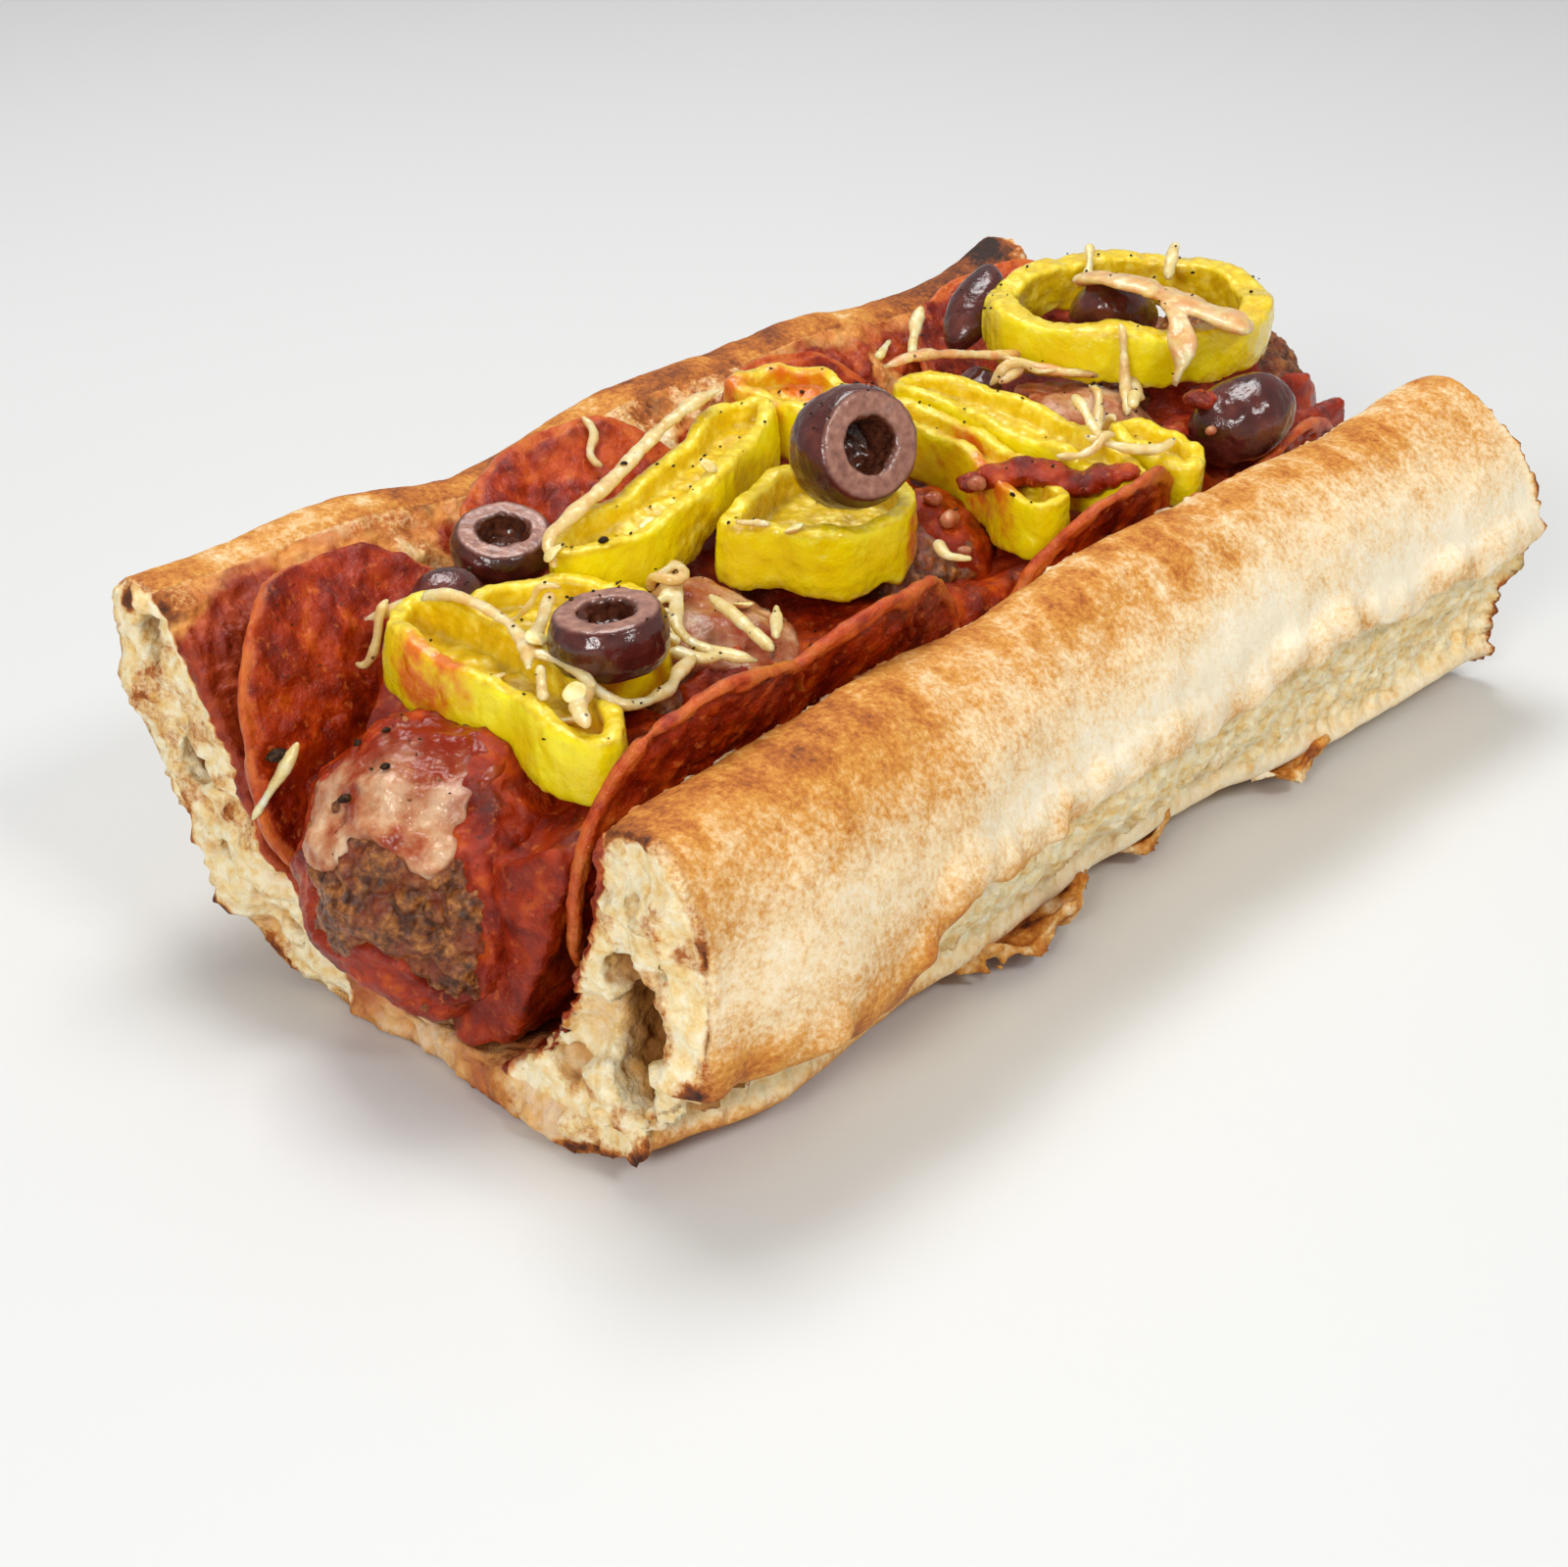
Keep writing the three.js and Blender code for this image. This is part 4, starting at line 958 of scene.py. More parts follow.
def coats():
    cover = patches(
        [((-0.34, 0.02, 0.94), 40, 6), ((-0.55, -0.22, 0.8), 26, 5), ((-0.75, 0.35, 0.55), 20, 5)],
        1.2, 8, 111, 3,
    )
    nodes = ["melted_cheese_front"]
    coat("melted_cheese_near", 0, cover, 0.9, MELT, 7, nodes, 0.45, 1, (-0.88, -0.12, 0.47))
    cover = patches(
        [
            ((0.15, -0.75, 0.6), 44, 7), ((0.2, -0.9, -0.2), 50, 8), ((0.3, 0.7, 0.4), 60, 8),
            ((-0.4, 0.85, -0.1), 40, 8), ((-0.75, 0.1, -0.75), 34, 7), ((0, 0, -1), 60, 8),
        ],
        1.3, 9, 112, 4,
    )
    coat("sauce_on_near_ball", 0, cover, 1.1, SAUCE, bumps=0.5, seed=2)
    for name, i, direction, thickness, seed, node in (
        ("second", 1, (0.05, -0.16, 0.98), 1.2, 3, "middle"),
        ("fourth", 3, (0.25, -0.1, 0.96), 1.5, 4, "far"),
    ):
        cover = patches([(direction, 40, 6)], 1.0, 8, 110 + seed, 3)
        nodes = ["melted_cheese_" + node]
        coat("melted_cheese_" + name, i, cover, thickness, MELT, 6, nodes, 0.5, seed)
    for i, spots in (
        (1, [((-0.3, -0.75, 0.5), 30, 7), ((-0.8, 0.3, 0.5), 34, 7)]),
        (2, [((0.3, -0.5, 0.8), 30, 7), ((-0.6, 0.2, 0.75), 34, 7), ((0.3, 0.6, 0.7), 34, 7)]),
        (3, [((-0.6, -0.3, 0.7), 34, 7), ((0.2, -0.85, 0.4), 30, 7)]),
        (
            4,
            [
                ((-0.6, -0.4, 0.6), 36, 7), ((0.0, -0.8, -0.1), 46, 7), ((0.5, 0.6, -0.3), 50, 7),
                ((0, 0, -1), 60, 8),
            ],
        ),
    ):
        cover = patches(spots, 1.3, 8, 115 + i, 4)
        coat("sauce_on_ball_%d" % (i + 1), i, cover, 1.1, SAUCE, 6, bumps=0.7, seed=5 + i)


# Pepperoni
GUIDES = {
    "low": [
        [-3, 7.2], [-11, 10], [-16.5, 17], [-20.5, 27], [-23, 37], [-25.5, 47], [-29, 57], [-31.5, 64],
    ],
    "leaning": [[10, 7.8], [20, 11], [27.5, 17], [33, 26], [37, 37], [42, 45], [49, 51.5], [56, 57]],
}
SLICES = {
    "low_1": ("low", -74, 38, dict(turn=0.2, curl=2.5, sauced=1.0)),
    "low_2": ("low", -40, 37, dict(turn=1.4, curl=3, radius=24.5, sauced=0.45)),
    "low_3": ("low", 20, 34.5, dict(turn=2.6, curl=3, sauced=0.5)),
    "low_4": ("low", 71, 29, dict(turn=3.1, curl=2, radius=22)),
    "leaning_1": ("leaning", -78, 37, dict(turn=0.8, curl=2, away=3.6, lean=2.4, radius=24, sauced=1.4)),
    "leaning_2": ("leaning", -27, 46, dict(turn=2, curl=1.5, radius=24.5, sauced=0.7)),
    "leaning_3": ("leaning", 25, 41, dict(turn=2.9, curl=2)),
    "leaning_4": ("leaning", 80, 44, dict(turn=4, curl=2.5, radius=24)),
}


def pepperoni(name, wall, x, rise, radius=23.5, curl=2.5, away=1.2, turn=0, lean=0, sauced=0.85):
    line = spline(GUIDES[wall], 1600)
    run = run_along(line)
    reach = run[-1]
    inward = 1 if wall == "low" else -1
    rows, around, h = 44, 220, 0.75
    r = radius * np.linspace(0, 1, rows) ** 0.85
    r = np.concatenate([r[1:], [radius + 0.25], r[::-1][:-1]])
    side = np.concatenate([np.full(rows - 1, -h), [0], np.full(rows - 1, h)])
    a = np.linspace(0, 2 * pi, around, endpoint=False)
    R, A = np.meshgrid(r, a, indexing="ij")
    T = np.repeat(side[:, None], around, 1)
    edge = np.stack([np.cos(A).ravel() * 9, np.sin(A).ravel() * 9, A.ravel() * 0 + x], 1)
    jag = 1 + 0.012 * np.sin(9 * A + x) + 0.012 * noise(edge, 1, 121).reshape(A.shape)
    px, pz = (R * jag * np.cos(A)).ravel(), (R * jag * np.sin(A)).ravel()
    T, A, R = T.ravel(), A.ravel(), R.ravel()
    wide = px * math.cos(turn) - pz * math.sin(turn)
    up = px * math.sin(turn) + pz * math.cos(turn)
    share = np.clip((rise + up) / reach, 0.001, 0.999)
    on = np.stack([np.interp(share * reach, run, c) for c in line.T], 1)
    a1, a2 = np.clip(share - 0.003, 0, 0.994), np.clip(share + 0.003, 0.006, 1)
    toward = unit(np.stack(
        [np.interp(a2 * reach, run, c) - np.interp(a1 * reach, run, c) for c in line.T], 1,
    ))
    rim = R / radius
    wave = curl * rim**2 * (0.5 + 0.5 * np.sin(3 * np.arctan2(pz, px) + x)) * step(up, -radius, radius)
    off = away + wave + T + lean * (up / radius)
    V = bend(np.stack(
        [x + wide, on[:, 0] + inward * toward[:, 1] * off, on[:, 1] - inward * toward[:, 0] * off], 1,
    ))
    n = rows * 2 - 1
    F = lattice(n, around)
    # The two middles are closed by their innermost rings drawn together.
    V[:around] = V[:around].mean(0) + 0.02 * (V[:around] - V[:around].mean(0))
    V[-around:] = V[-around:].mean(0) + 0.02 * (V[-around:] - V[-around:].mean(0))
    N = normals(V, F)
    face = step(np.abs(T), 0.2, 0.7)
    uneven_edge = rim + 0.05 * noise(V, 5, 134)
    cover = step(sauced + 0.9 * fbm(V, 10, 131, 3) - 1.6 * step(uneven_edge, 0.91, 0.985), 0.0, 0.45)
    coated = face * cover
    thick = 0.5 + 0.6 * fbm(V, 6, 133, 4) + 0.35 * fbm(V, 2, 135, 3)
    V = V + N * (0.25 * fbm(V, 2.6, 132, 4) + coated * thick)[:, None]
    put(
        "slice_" + name, V, F, PEPPERONI, ["pepperoni_" + name],
        {"coat": coated, "rim": step(rim, 0.86, 0.97)},
    )


# Cheese
def strip(points, width=2.6, thickness=1.8, around=12):
    line = Curve(points)
    n = max(10, int(line.length / 0.7))
    share = np.linspace(0, 1, n)
    on, run = line.at(share), line.toward(share)
    side = np.stack([-run[:, 1], run[:, 0], 0 * run[:, 0]], 1)
    side[np.linalg.norm(side, axis=1) < 0.05] = (1, 0, 0)
    side = unit(side)
    rise = unit(np.cross(side, run))
    plump = 0.74 * (1 + 0.22 * uneven(on, 9, 2) + 0.28 * noise(on, 4, 141))
    ends = 0.4 + 0.6 * step(np.minimum(share, 1 - share), 0, 0.1)
    a = np.linspace(0, 2 * pi, around, endpoint=False)
    k = (plump * ends)[:, None, None]
    V = on[:, None] + side[:, None] * (np.cos(a)[None, :, None] * 0.5 * width * k)
    V = V + rise[:, None] * (np.sin(a)[None, :, None] * 0.5 * thickness * k)
    V = np.vstack([V.reshape(-1, 3), on[:1], on[-1:]])
    F = lattice(n, around)
    j = np.arange(around)
    j2 = (j + 1) % around
    first, last = len(V) - 2, len(V) - 1
    caps = [np.stack([np.full(around, first), j2, j, j], 1)]
    caps.append(np.stack(
        [np.full(around, last), (n - 1) * around + j, (n - 1) * around + j2, (n - 1) * around + j2], 1,
    ))
    faces = faces_of(F)
    faces += [tuple(dict.fromkeys(int(c) for c in f)) for f in np.vstack(caps)]
    return V, faces


def web(name, node, *strips, stain=0.0, voxel=0.32):
    Vs, Fs, at = [], [], 0
    for one in strips:
        V, F = strip(*one)
        Vs.append(V)
        Fs += faces_of(F, at)
        at += len(V)
    V, F = roughened(np.vstack(Vs), Fs, voxel, 3, 0.16, 2.2, 142, 3, 0.1)
    put(name, V, F, CHEESE, [node] if node else [], {"stain": 0 * V[:, 0] + stain})


def cheese():
    web("web_front", "cheese_web_front",
        (
            [
                [-78.5, 33.5, 51], [-76, 29.5, 53], [-73, 24, 55.6], [-73, 18, 56.2], [-74.5, 9.5, 56],
                [-78, 3, 55.6], [-82, -1.5, 55.6],
            ],
        ),
        ([[-60.5, 15.5, 54], [-68.5, 9, 55.2], [-77, 3, 55.6]],),
        ([[-78, 3, 55.6], [-77, -4, 54.8], [-78, -8.5, 54], [-83, -11, 53.8], [-86, -15.5, 53.4]],),
        (
            [
                [-77.5, -6, 54.4], [-76, -12, 51.6], [-68.5, -12.5, 50.6], [-62, -9.5, 50.4],
                [-57, -7.5, 50],
            ],
        ), stain=0.2)
    web("web_middle", "cheese_web_middle",
        (
            [
                [-41.5, 10.5, 51.2], [-47.5, 4, 51.2], [-51.5, 0.5, 50.4], [-53.5, -5, 49.6],
                [-50, -13, 48.4],
            ],
            2.8,
        ),
        ([[-41, 12, 52], [-46.5, 6.5, 51.6], [-53, 6, 51]], 2.6),
        ([[-58, -4, 50.2], [-55.5, -8.5, 49.4], [-53, -8.5, 49.2]], 3))
    web("stick", "cheese_stick", ([[-44.5, 0.5, 52.2], [-47.5, -7.5, 52], [-50, -15.5, 50.8]], 2.3, 1.8))
    web("stick_short", "cheese_stick_short", ([[-38.5, -6.5, 50.8], [-46.5, -13, 50.4]], 2.2, 1.7))
    web("web_back", "cheese_web_back",
        (
            [
                [-55, 20, 54.5], [-52, 24, 56.4], [-45, 26.5, 57.2], [-33.5, 29, 58.6], [-22, 32, 60.6],
                [-10, 34, 62.6], [-4, 33.5, 63.2],
            ],
            3.2, 1.8,
        ), stain=0.15)
    web("web_far", "cheese_web_far",
        ([[27, 26, 60], [34, 24.5, 60.4], [42, 22, 59], [52, 19.5, 56.8], [61, 19.5, 55.6]], 3),
        (
            [
                [50, 19, 57], [52.5, 13, 55.8], [56, 7.5, 55.2], [62, 3.5, 54.4], [60, 0, 53.4],
                [59.5, -2.5, 52],
            ],
            3.4, 2.2,
        ),
        ([[40, 12.5, 56.8], [45, 13.5, 56.6], [51, 15.5, 56.4]], 2.4), stain=0.6)
    web("melt_far", "cheese_melt_far",
        ([[73.5, 19, 64.5], [71, 13.5, 66.4], [71.5, 7.5, 66.4], [73.5, 3.5, 65.4]], 9, 2.8),
        ([[74, 5, 65.4], [72, -1.5, 65], [72, -8, 64.2], [75, -13, 62.6]], 10.5, 3),
        ([[71, 1, 65.2], [66, -4.5, 63.6], [62.5, -7.5, 59.5], [61.5, -7, 55]], 5.4, 2.4), stain=0.45)
    strands = {
        "front": [[-96.5, 28, 41], [-98.5, 29, 37.5], [-101, 30, 34], [-103, 31, 31]],
        "wall": [[60, 43.5, 58], [56.5, 42, 55.2], [51, 38.5, 52.6]],
        "ring_left": [[85.5, 26.5, 66.2], [82, 24, 64.6], [77.5, 21.5, 61.8]],
        "ring_right": [[96, 15.5, 66.2], [90.5, 13, 64.8], [87.5, 11.5, 62.4]],
        "pepper_far": [[37, -4, 59.4], [33.5, -8, 59.4], [30, -13.5, 57]],
        "pepper_back": [[25, 25.5, 62.2], [31, 28, 63]],
        "pepper_front": [[28, -12, 57.4], [30.5, -18, 56.2], [35, -21, 55.4], [40, -21, 55.6]],
        "end": [[50, -7, 56.8], [44.5, -10, 57]],
        "chip": [[-5, -9, 50], [-7, -12.5, 49.4], [-5, -15.5, 49]],
    }
    for name, points in strands.items():
        web("strand_" + name, "cheese_strand_" + name, (points, 2.3, 1.7))


# Olives
def turned(facing):
    """Columns of a turn that points +Z the given way."""
    z = unit(facing)
    axis = np.cross([0, 0, 1], z)
    s, c = np.linalg.norm(axis), z[2]
    if s < 1e-9:
        return np.eye(3)
    k = axis / s
    K = np.array([[0, -k[2], k[1]], [k[2], 0, -k[0]], [-k[1], k[0], 0]])
    return np.eye(3) + s * K + (1 - c) * K @ K


def olive_slice(name, at, facing, radius=8.1, height=7.5, hole=3.8, seed=1):
    """A barrel whose pit hole stops short of its lower end."""
    h = height / 2
    corners = [
        [0, -h], [radius * 0.8, -h], [radius * 0.87, -h * 0.93], [radius * 0.97, -h * 0.5],
        [radius * 1.0, 0], [radius * 0.97, h * 0.5], [radius * 0.87, h * 0.93], [radius * 0.8, h],
        [hole + 0.5, h], [hole, h * 0.86], [hole * 0.9, -h * 0.35], [0, -h * 0.55],
    ]
    kinds = [1, 1, 0, 0, 0, 0, 0, 1, 1, 2, 2, 2]
    C = np.array(corners, float)
    run = run_along(C)
    n, around = 88, 150
    s = np.linspace(0.05, run[-1] - 0.05, n)
    prof = np.stack([np.interp(s, run, c) for c in C.T], 1)
    cut = np.interp(s, run, [k == 1 for k in kinds])
    inner = np.interp(s, run, [k == 2 for k in kinds])
    a = np.linspace(0, 2 * pi, around, endpoint=False)
    ring = np.stack([np.cos(a), np.sin(a)], 1)
    reach, rise = prof[:, None, 0], np.repeat(prof[:, 1:2], around, 1)
    V = np.stack([reach * ring[None, :, 0], reach * ring[None, :, 1], rise], -1).reshape(-1, 3)
    cut, inner = np.repeat(cut, around), np.repeat(inner, around)
    F = lattice(n, around)
    V = V * [1.03, 1 / 1.03, 1]
    N = normals(V, facing_out(V, F))
    ragged = inner * (0.6 * fbm(V + 60 * seed, 2.4, 151, 3) + 0.2)
    move = (
        ragged + 0.22 * fbm(V + 60 * seed, 6, 152, 2) * (1 - inner)
        + 0.09 * fbm(V + 60 * seed, 1.6, 153, 2)
    )
    pits, _ = cells(V + 60 * seed, 2.4, 154)
    move -= (1 - cut) * (1 - inner) * 0.35 * np.clip(0.25 - pits, 0, 1)
    V = (V + N * move[:, None]) @ turned(facing).T + np.array(at, float)
    put("olive_" + name + "_slice", V, F, OLIVE, ["olive_" + name], {"cut": cut, "hole": inner})


def olive_piece(name, at, facing, half, seed, cut=-1, dents=0.5):
    D, F = icosphere(6)
    q = np.stack([D[:, 0] * half[0], D[:, 1] * half[1], np.maximum(D[:, 2], cut) * half[2]], 1)
    q = q * (1 + 0.05 * uneven(q, 12, seed))[:, None]
    flat = (D[:, 2] < cut) * 1.0
    N = normals(q, F)
    folds = -dents * np.clip(fbm(q + 60 * seed, [5, 9, 5], 155, 3), -1, 1) ** 2
    V = (q + N * (folds + 0.06 * fbm(q, 1.6, 156, 2))[:, None]) @ turned(facing).T + np.array(at, float)
    put(
        "olive_" + name + "_piece", V, F, OLIVE, ["olive_" + name],
        {"cut": flat, "hole": 0 * flat},
    )


def olives():
    olive_slice("near", [-69.5, -4, 56.5], [-0.05, 0.06, 1], seed=1)
    olive_slice("standing", [-12.8, 0.6, 64.6], [-0.25, -0.86, 0.38], 9.3, 9.6, 4.2, seed=2)
    olive_slice("wall", [-47.5, 38, 50.5], [-0.14, -0.24, 1], 7.8, 6, seed=3)
    olive_piece("end_cap", [-63.5, 33, 47], [-0.2, 0, 1], [6.6, 5.6, 6.8], 3)
    olive_piece("far", [60.5, -20.5, 52.5], [0.7, -0.5, 0.4], [7.2, 6.8, 9.4], 5, dents=0.8)
    olive_piece("in_ring", [76, 14.5, 59], [0.3, 0.2, 1], [8.6, 6.5, 6.2], 4, -0.6)
    olive_piece("wedge", [64.5, 35.5, 58.5], [0.75, 0.1, 0.6], [3.4, 4.6, 8.6], 6)
    olive_piece("tip", [45.5, 20.5, 51.8], [0, 0, 1], [4.2, 4, 4.4], 7)


# Pepper rings
RINGS = {
    "front": (
        [
            [-80.8, 24.2, 55], [-84, 11.5, 54], [-83.5, -1.5, 53], [-86, -11.5, 52.5], [-84, -17, 52],
            [-78, -11.5, 52.5], [-74, 1.5, 53.5], [-72, 16.5, 54.5], [-75, 27.5, 55],
        ],
        dict(band=10, wall=2.8, filled=5, stain=0.15, spots=((-85, 14, 50, 9), (-78, -10, 47, 5))),
    ),
    "front_back": (
        [
            [-68, 24, 51.5], [-70.5, 16, 51.5], [-68, 6, 51.5], [-62, 1, 51.5], [-54, 2, 51.5],
            [-49, 10, 51.5], [-51, 20, 51.5], [-60, 26, 51.5],
        ],
        dict(band=9, wall=2.7, filled=3.2, stain=0.1),
    ),
    "middle_left": (
        [
            [-49.5, 24, 54.5], [-41, 19, 55.5], [-29, 18.5, 57], [-12.5, 22.5, 59], [-2, 26.5, 60.5],
            [1.8, 30.5, 61], [-3.5, 33.5, 60.5], [-17, 30.5, 58.5], [-32, 28, 56.5], [-44, 28.5, 55],
        ],
        dict(band=9.5, wall=2.7, inner=1.1, filled=3.4),
    ),
    "middle": (
        [
            [-29, 10.5, 55.5], [-25, 4.5, 55.5], [-22.5, -2, 55.5], [-13.5, -5.5, 55.5], [-5.5, -3.5, 56],
            [-1, 4, 56], [-1.5, 13, 56], [-8.5, 17, 56], [-20, 14.5, 56],
        ],
        dict(band=10.5, wall=3.1, inner=1.1, filled=4.5, spots=((-6, -5, 47, 6),)),
    ),
    "back": (
        [
            [4.5, 38, 61.5], [11, 37, 62], [16.5, 31, 61.5], [15, 24, 61], [8, 20.5, 60], [4.6, 26, 60],
            [4.2, 33, 60.5],
        ],
        dict(band=9, wall=2.7, inner=1.1, filled=3.2, stain=0.3, spots=((4, 36, 58, 9), (15, 30, 58, 7))),
    ),
    "middle_right": (
        [
            [16.5, 18, 57.5], [18, 8, 56.5], [15, -2, 55.5], [10, -11.5, 54.5], [9, -18, 54],
            [13.5, -18.5, 54], [18, -8.5, 55], [21.5, 2, 56], [23, 12, 57], [20.8, 20, 58],
        ],
        dict(band=9.5, wall=2.6, filled=2.8, stain=0.2, spots=((13, -6, 50, 12), (20, 4, 54, 4))),
    ),
    "right": (
        [
            [26, 21.5, 58.5], [26.8, 11, 58], [24.8, 1, 57], [25.5, -8, 56], [24, -15.5, 55],
            [24, -20.5, 54.5], [28, -22.5, 54], [32.5, -16, 55], [34.5, -7, 56], [35.5, 3, 57],
            [34.5, 15, 58], [31, 23, 58.5],
        ],
        dict(band=9, wall=2.6, filled=2.8, stain=0.1),
    ),
    "right_end": (
        [
            [37.8, -15, 54.5], [36.8, -20.5, 53.5], [38, -25, 53], [42, -24.5, 53], [45.2, -18.5, 54],
            [43.5, -12, 55], [40, -11, 55],
        ],
        dict(band=8, wall=2.5, filled=2.6),
    ),
    "far": (
        [
            [61, 27.5, 63], [56.5, 18.5, 62.5], [60.5, 6.5, 62.2], [68.5, -4.5, 62], [81, -8.5, 62],
            [93.5, -3, 62], [100, 9, 62.5], [95.5, 21, 63], [83.5, 28.5, 63.5], [71.5, 30.5, 63.5],
        ],
        dict(band=9, wall=4.6, inner=1.4, stain=0.15),
    ),
}


def pepper_ring(name, points, band=9.5, wall=3.6, inner=1.0, filled=0, stain=0.0, spots=()):
    """A band that hangs from the loop. A squashed one is filled by its own flesh from that depth down."""
    P = np.array(points, float)
    loop = Curve(P, True)
    middle = P.mean(0)
    around = np.cross(P - middle, np.roll(P, -1, 0) - middle).sum(0)
    outward = np.sign(around[2])
    up = unit(around) * outward
    seed = sum(map(ord, name)) % 50
    section = np.array([
        [-0.46, -0.05], [-0.38, -0.01], [0, 0.01], [0.36, 0], [0.5, -0.03], [0.58, -0.16], [0.63, -0.38],
        [0.62, -0.68], [0.54, -0.9], [0.45, -0.99], [0.05, -1.0], [-0.34, -0.99], [-0.44, -0.94],
        [-0.44, -0.5], [-0.46, -0.05],
    ])
    section[:, 0] *= np.where(section[:, 0] < 0, wall * inner, wall)
    section[:, 1] *= band
    run = run_along(section)
    n, m = int(loop.length / 0.45), 48
    s = np.linspace(0, run[-1], m, endpoint=False)
    out, level = (np.interp(s, run, c)[None] for c in section.T)
    share = np.linspace(0, 1, n, endpoint=False)
    on = loop.at(share)
    side = unit(np.cross(loop.toward(share), up)) * outward
    wavy = 0.35 * np.sin(2 * pi * 7 * share[:, None] + 4 * level / band)
    line = np.stack([share * loop.length, 0 * share, 0 * share + 9 * seed], 1)
    ripple = 0.55 * noise(line, 3.2, 161) + 0.5 * noise(line, 7, 162) + 0.2 * noise(line, 1.3, 163)
    aside = (
        0.8 * noise(line, 13, 171)[:, None] + 0.3 * noise(line, 4, 172)[:, None]
        - 0.12 * noise(line, 18, 173)[:, None] * level
    )
    thick = 0.95 + 0.22 * noise(line, 9, 174)[:, None]
    V = on[:, None] + side[:, None] * (out * thick + aside)[..., None] + up * (level + wavy)[..., None]
    edges = np.abs(2 * level / band + 1) ** 2 * np.where(level < -0.5 * band, 1.5, 0.8)
    V = V + up * (ripple[:, None] * edges)[..., None]
    V = V.reshape(-1, 3)
    F = faces_of(lattice(n, m, True, True))
    if filled:
        rim = on[::3] - middle
        flat = rim - np.outer(rim @ up, up)
        k = len(rim)
        low = middle + flat - up * (band - 1.5)
        high = middle + flat - up * filled
        F += [(i + n * m, (i + 1) % k + n * m, (i + 1) % k + n * m + k, i + n * m + k) for i in range(k)]
        F += [tuple(range(n * m, n * m + k))[::-1], tuple(range(n * m + k, n * m + 2 * k))]
        V = np.vstack([V, low, high])
    V, F = remeshed(V, F, 0.38)
    V = relaxed(V, F, 1)
    # Where each point lies by the loop
    near = in_batches(V, lambda v: ((v[:, None] - on[None, ::2]) ** 2).sum(2).argmin(1) * 2)
    rest = V - on[near]
    out, level = (rest * side[near]).sum(1), rest @ up
    skin = step(out, 0.25 * wall, 0.45 * wall)
    skin = skin * (1 - step(level, -1.1, -0.4)) * step(level, 0.2 - band, 0.9 - band)
    pith = 1 - step(out, -0.75 * wall * inner, -0.4 * wall * inner)
    flesh = (-filled - 0.2, -filled * 0.3) if filled else (-1.4, -0.4)
    pith = pith * (1 - step(level, *flesh))
    N = normals(V, F)
    move = (
        0.35 * fbm(V, 8, 164 + seed, 3) + 0.1 * fbm(V, 1.8, 165, 2)
        + 0.12 * (1 - skin) * fbm(V, 1.1, 167, 3)
    )
    move += pith * (0.5 * fbm(V, 3.2, 166 + seed, 3) + 0.15)
    V = V + N * move[:, None]
    soiled = stain * step(fbm(V, 14, 168 + seed, 2) + stain, 0.1, 0.6)
    for x, y, z, r in spots:
        soiled = np.maximum(
            soiled,
            1.2 * (1 - step(np.linalg.norm(V - [x, y, z], axis=1) + 3 * fbm(V, 5, 169, 3), 0.4 * r, r)),
        )
    put(
        "ring_" + name, V, F, PEPPER, ["pepper_ring_" + name],
        {"cut": 1 - skin, "inner": pith, "stain": soiled},
    )


# Small things that lie on top
def draped(points, width=1.9, lift=0.5):
    """A shred's line over the fillings: it spans their gaps and rests on their tops."""
    line = Curve([[x, y, 0] for x, y in points])
    n = max(6, int(line.length / 1.2))
    on = line.at(np.linspace(0, 1, n))
    on[:, 2] = top_at(on[:, 0], on[:, 1], 2) + lift
    least = on[:, 2].copy()
    for _ in range(6):
        middle = 0.5 * on[1:-1, 2] + 0.25 * (on[:-2, 2] + on[2:, 2])
        on[1:-1, 2] = np.maximum(middle, least[1:-1])
    return on, width, 0.8 * width


def shreds():
    web("shreds", None, *(draped(*one) for one in (
        ([[-42, 14], [-46, 9.5], [-45, 6], [-41.5, 8], [-39.5, 12]], 1.7),
        ([[-38.5, 13], [-41, 10.5], [-46, 9]], 1.6),
        ([[-29.6, 8.6], [-27, 4.2]], 1.5),
        ([[-52, 2], [-56.5, -2.5], [-57, -5]], 1.9),
        ([[-17, 50.5], [-17, 48], [-20, 46.5], [-19, 44.5]], 1.6),
        ([[55, 5], [51, 0.5], [45, -3.5], [42, -7.5], [39, -10.5]], 2.1),
        ([[43, 16.5], [48, 13], [52, 9.5]], 2.0),
        ([[60, 3], [57.5, 0], [52, -4.5]], 2.2),
        ([[-81, 33.5], [-79.5, 30.5], [-77, 30]], 1.7),
        ([[-81, -2.5], [-84.5, -6.5]], 2.0),
        ([[-66, 22], [-62.5, 16.5], [-60.5, 13.5]], 1.6),
        ([[20, -12.5], [25, -15], [31, -15.5]], 2.4),
    )), stain=0.25, voxel=0.34)


def drops(places, size, above, seed):
    """Balls on top of the fillings, each at x and y with a radius."""
    parts = []
    for k, (x, y, r) in enumerate(places):
        z = top_at(x, y, 3)[0] + above
        parts.append(blob(x, y, z, *(share * r for share in size), seed + k))
    return joined(parts)


def sauce_dabs():
    """Spoonfuls of sauce on top of the rings, and one at the far olive."""
    places = [
        (13.5, -7, 3.2), (16, -9, 3.6), (17.5, -12, 3.8), (19, -14.5, 3.6), (21, -17, 3.2),
        (23.5, -19, 2.8), (26, -21, 2.6), (55, -16, 2.6), (52, -14, 2.2), (18, -19, 3), (10.5, -4, 2.6),
    ]
    V, F = roughened(*drops(places, (1.1, 1.1, 0.55), -0.7, 40), 0.4, 3, 0.7, 3.0, 171, 4)
    put("sauce_dabs", V, F, SAUCE, [])


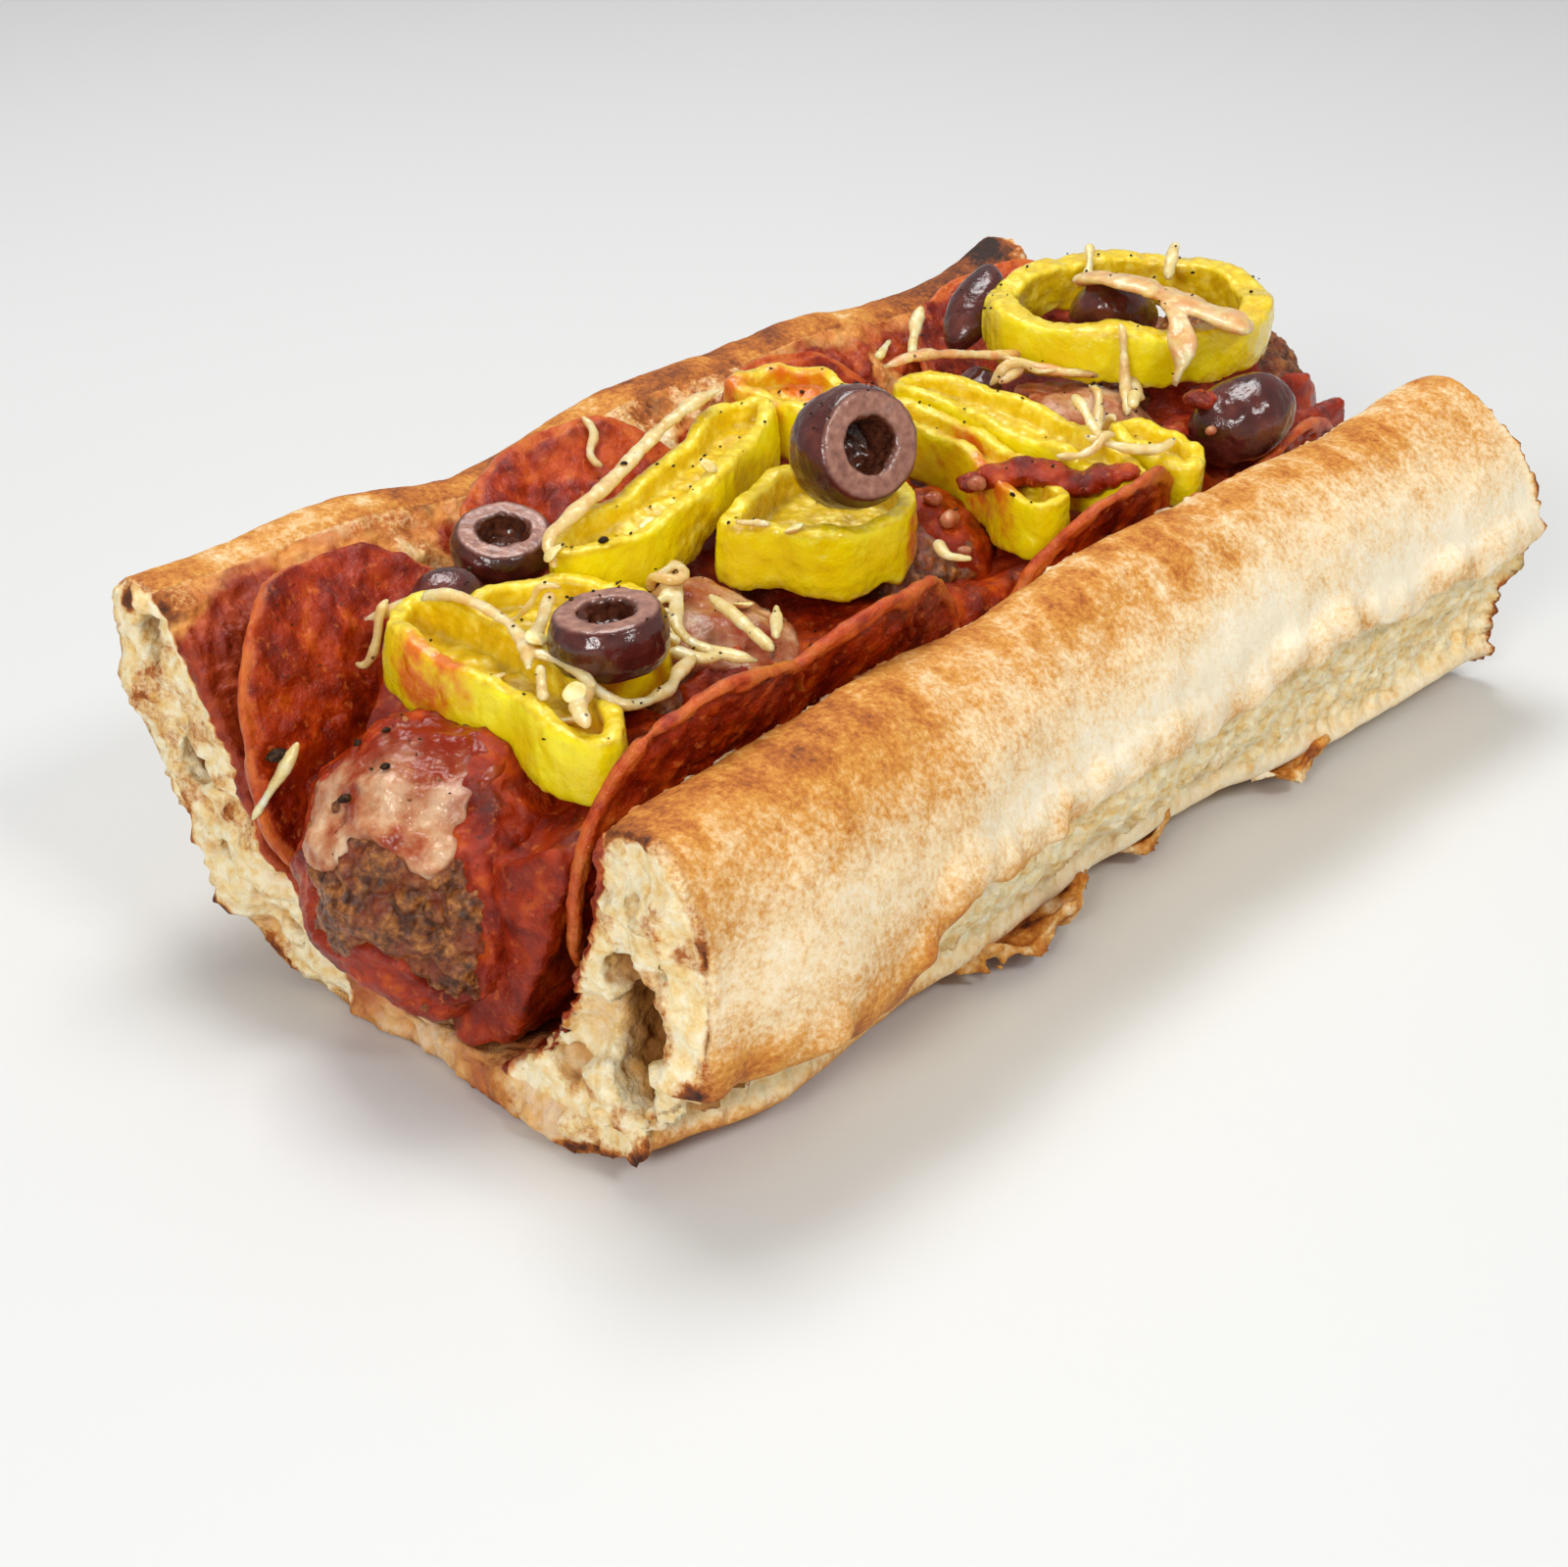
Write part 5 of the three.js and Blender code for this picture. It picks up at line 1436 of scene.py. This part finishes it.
def onions():
    """Glassy bits of onion beside the third meatball."""
    places = [(5.5, -0.5, 2.0), (5.0, -4.0, 2.2), (8.0, -6.5, 2.1), (2.5, -8.5, 1.5), (51, -20.5, 1.3)]
    V, F = roughened(*drops(places, (1, 0.7, 0.55), 0.2, 60), 0.35, 2, 0.3, 2.2, 172, 3)
    put(
        "onion_bits", V, F, MELT, [],
        {"thick": 0.6 + 0.5 * fbm(V, 3, 173), "stain": 0 * V[:, 0]},
    )


def seeds():
    """Flat seeds of the peppers, in the rings' hollows and on the melted cheese."""
    parts = []
    ball, faces = icosphere(4)
    places = [
        (-25, 1.5), (-21, 21), (-54.4, 20.9), (-76.5, 2.5), (-80, -6), (-82.5, -10), (-37.5, 0.5),
        (-33, 22), (-79, 8), (-58, 8),
    ]
    for k, (x, y) in enumerate(places):
        q = ball * [1.75, 1.45, 0.5] * (1 + 0.06 * noise(ball, 0.8, 70 + k)[:, None])
        q[:, 2] += 0.12 * np.sin(4 * ball[:, 0] + k)
        lean = [0.5 * math.sin(2.3 * k), 0.5 * math.cos(3.1 * k), 1]
        z = top_at(x, y, 2)[0]
        parts.append((q @ turned(lean).T + [x, y, z + 0.35], faces))
    V, F = joined(parts)
    put("pepper_seeds", V, F, SEED, [], {"stain": 0 * V[:, 0]})


def flecks():
    """Ground black pepper and herbs over the fillings, and a few charred flakes."""
    rng = np.random.default_rng(8)
    ball, faces = icosphere(2)
    parts = []
    for k in range(330):
        x, y = rng.uniform(-100, 100), rng.uniform(-20, 40)
        size = rng.uniform(0.12, 0.28) * (1.9 if rng.random() < 0.1 else 1)
        z = top_at(x, y, 1)[0]
        if z < 36:
            continue
        q = ball * (1 + 0.35 * noise(ball, 0.7, 80 + k)[:, None]) * [1.3, 0.9, 0.6]
        turn = rng.uniform(-1, 1, 3) * [0.6, 0.6, 0] + [0, 0, 1]
        parts.append((q * size @ turned(turn).T + [x, y, z + 0.1], faces))
    for x, y, size in (
        (-98.4, 30.2, 1.3), (-102.5, 12.3, 0.8), (-99, 8, 0.6), (-60, 12, 0.9), (-66, 25, 0.8),
        (-45, 20, 0.7),
    ):
        q = ball * (1 + 0.3 * noise(ball, 0.7, 90)[:, None]) * [1.2, 1, 0.6] * size
        parts.append((q + [x, y, top_at(x, y, 1)[0] + 0.2], faces))
    V, F = joined(parts)
    put("pepper_flecks", V, F, FLECK, [])


# Assembly
bread()
sauce()
meatballs()
coats()
for name, (wall, x, rise, options) in SLICES.items():
    pepperoni(name, wall, x, rise, **options)
cheese()
olives()
for name, (points, options) in RINGS.items():
    pepper_ring(name, points, **options)
sauce_dabs()
onions()
shreds()
seeds()
flecks()

# Stage, light and camera
corners = np.array([[-3, -3, 0], [3, -3, 0], [3, 3, 0], [-3, 3, 0]], float)
floor = bpy.data.objects.new("floor", mesh_of("floor", corners, np.array([[0, 1, 2, 3]])))
scene.collection.objects.link(floor)
pale = Shade("pale_floor", Roughness=0.55)
greys = [(0.3, (0.69, 0.695, 0.69, 1)), (0.7, (0.71, 0.715, 0.71, 1))]
pale.to("Base Color", pale.shades(pale.noise(400, 2), greys))
floor.data.materials.append(pale.material)
floor.location.z = -0.0002


def placed(axes, at):
    """A matrix with these three axes and this origin."""
    return Matrix([[*row, p] for row, p in zip(np.stack(axes, 1), at)] + [[0, 0, 0, 1]])


def softbox(name, at, toward, size, power, colour=(1, 1, 1)):
    light = bpy.data.lights.new(name, "AREA")
    light.shape, light.size, light.size_y = "RECTANGLE", *size
    light.energy, light.color = power, colour
    o = bpy.data.objects.new(name, light)
    scene.collection.objects.link(o)
    z = -unit(np.array(toward) - at)
    x = unit(np.cross([0, 0, 1.0], z))
    o.matrix_world = placed([x, np.cross(z, x), z], at)


softbox("overhead", np.array([0.15, 0.25, 0.9]), (0, 0, 0), (0.5, 0.4), 5.6)
softbox("window", np.array([-0.1, -0.9, 0.92]), (0, 0, 0.03), (0.3, 0.24), 4.8, (1, 0.99, 0.97))
softbox("front", np.array([-1.05, -0.35, 0.6]), (0, 0, 0.03), (0.3, 0.25), 6.2, (1, 0.99, 0.97))
scene.world = bpy.data.worlds.new("studio")
scene.world.use_nodes = True
sky = scene.world.node_tree.nodes["Background"]
sky.inputs["Color"].default_value = (0.94, 0.95, 0.95, 1)
sky.inputs["Strength"].default_value = 0.38
scene.view_settings.view_transform = "Standard"

tilt, heading = math.radians(28.226), math.radians(39.739)
ahead = np.array([
    math.cos(heading) * math.cos(tilt), math.sin(heading) * math.cos(tilt), -math.sin(tilt),
])
right = np.array([math.sin(heading), -math.cos(heading), 0])
above = np.cross(right, ahead)
eye = (np.array([-304.288, -228.767, 208.708]) - SHIFT) / 1000
camera = bpy.data.objects.new("camera", bpy.data.cameras.new("camera"))
camera.data.lens, camera.data.sensor_width, camera.data.sensor_fit = 63, 36, "HORIZONTAL"
camera.data.clip_start = 0.01
camera.matrix_world = placed([right, above, -ahead], eye)
scene.collection.objects.link(camera)
scene.camera = camera

bpy.context.view_layer.update()
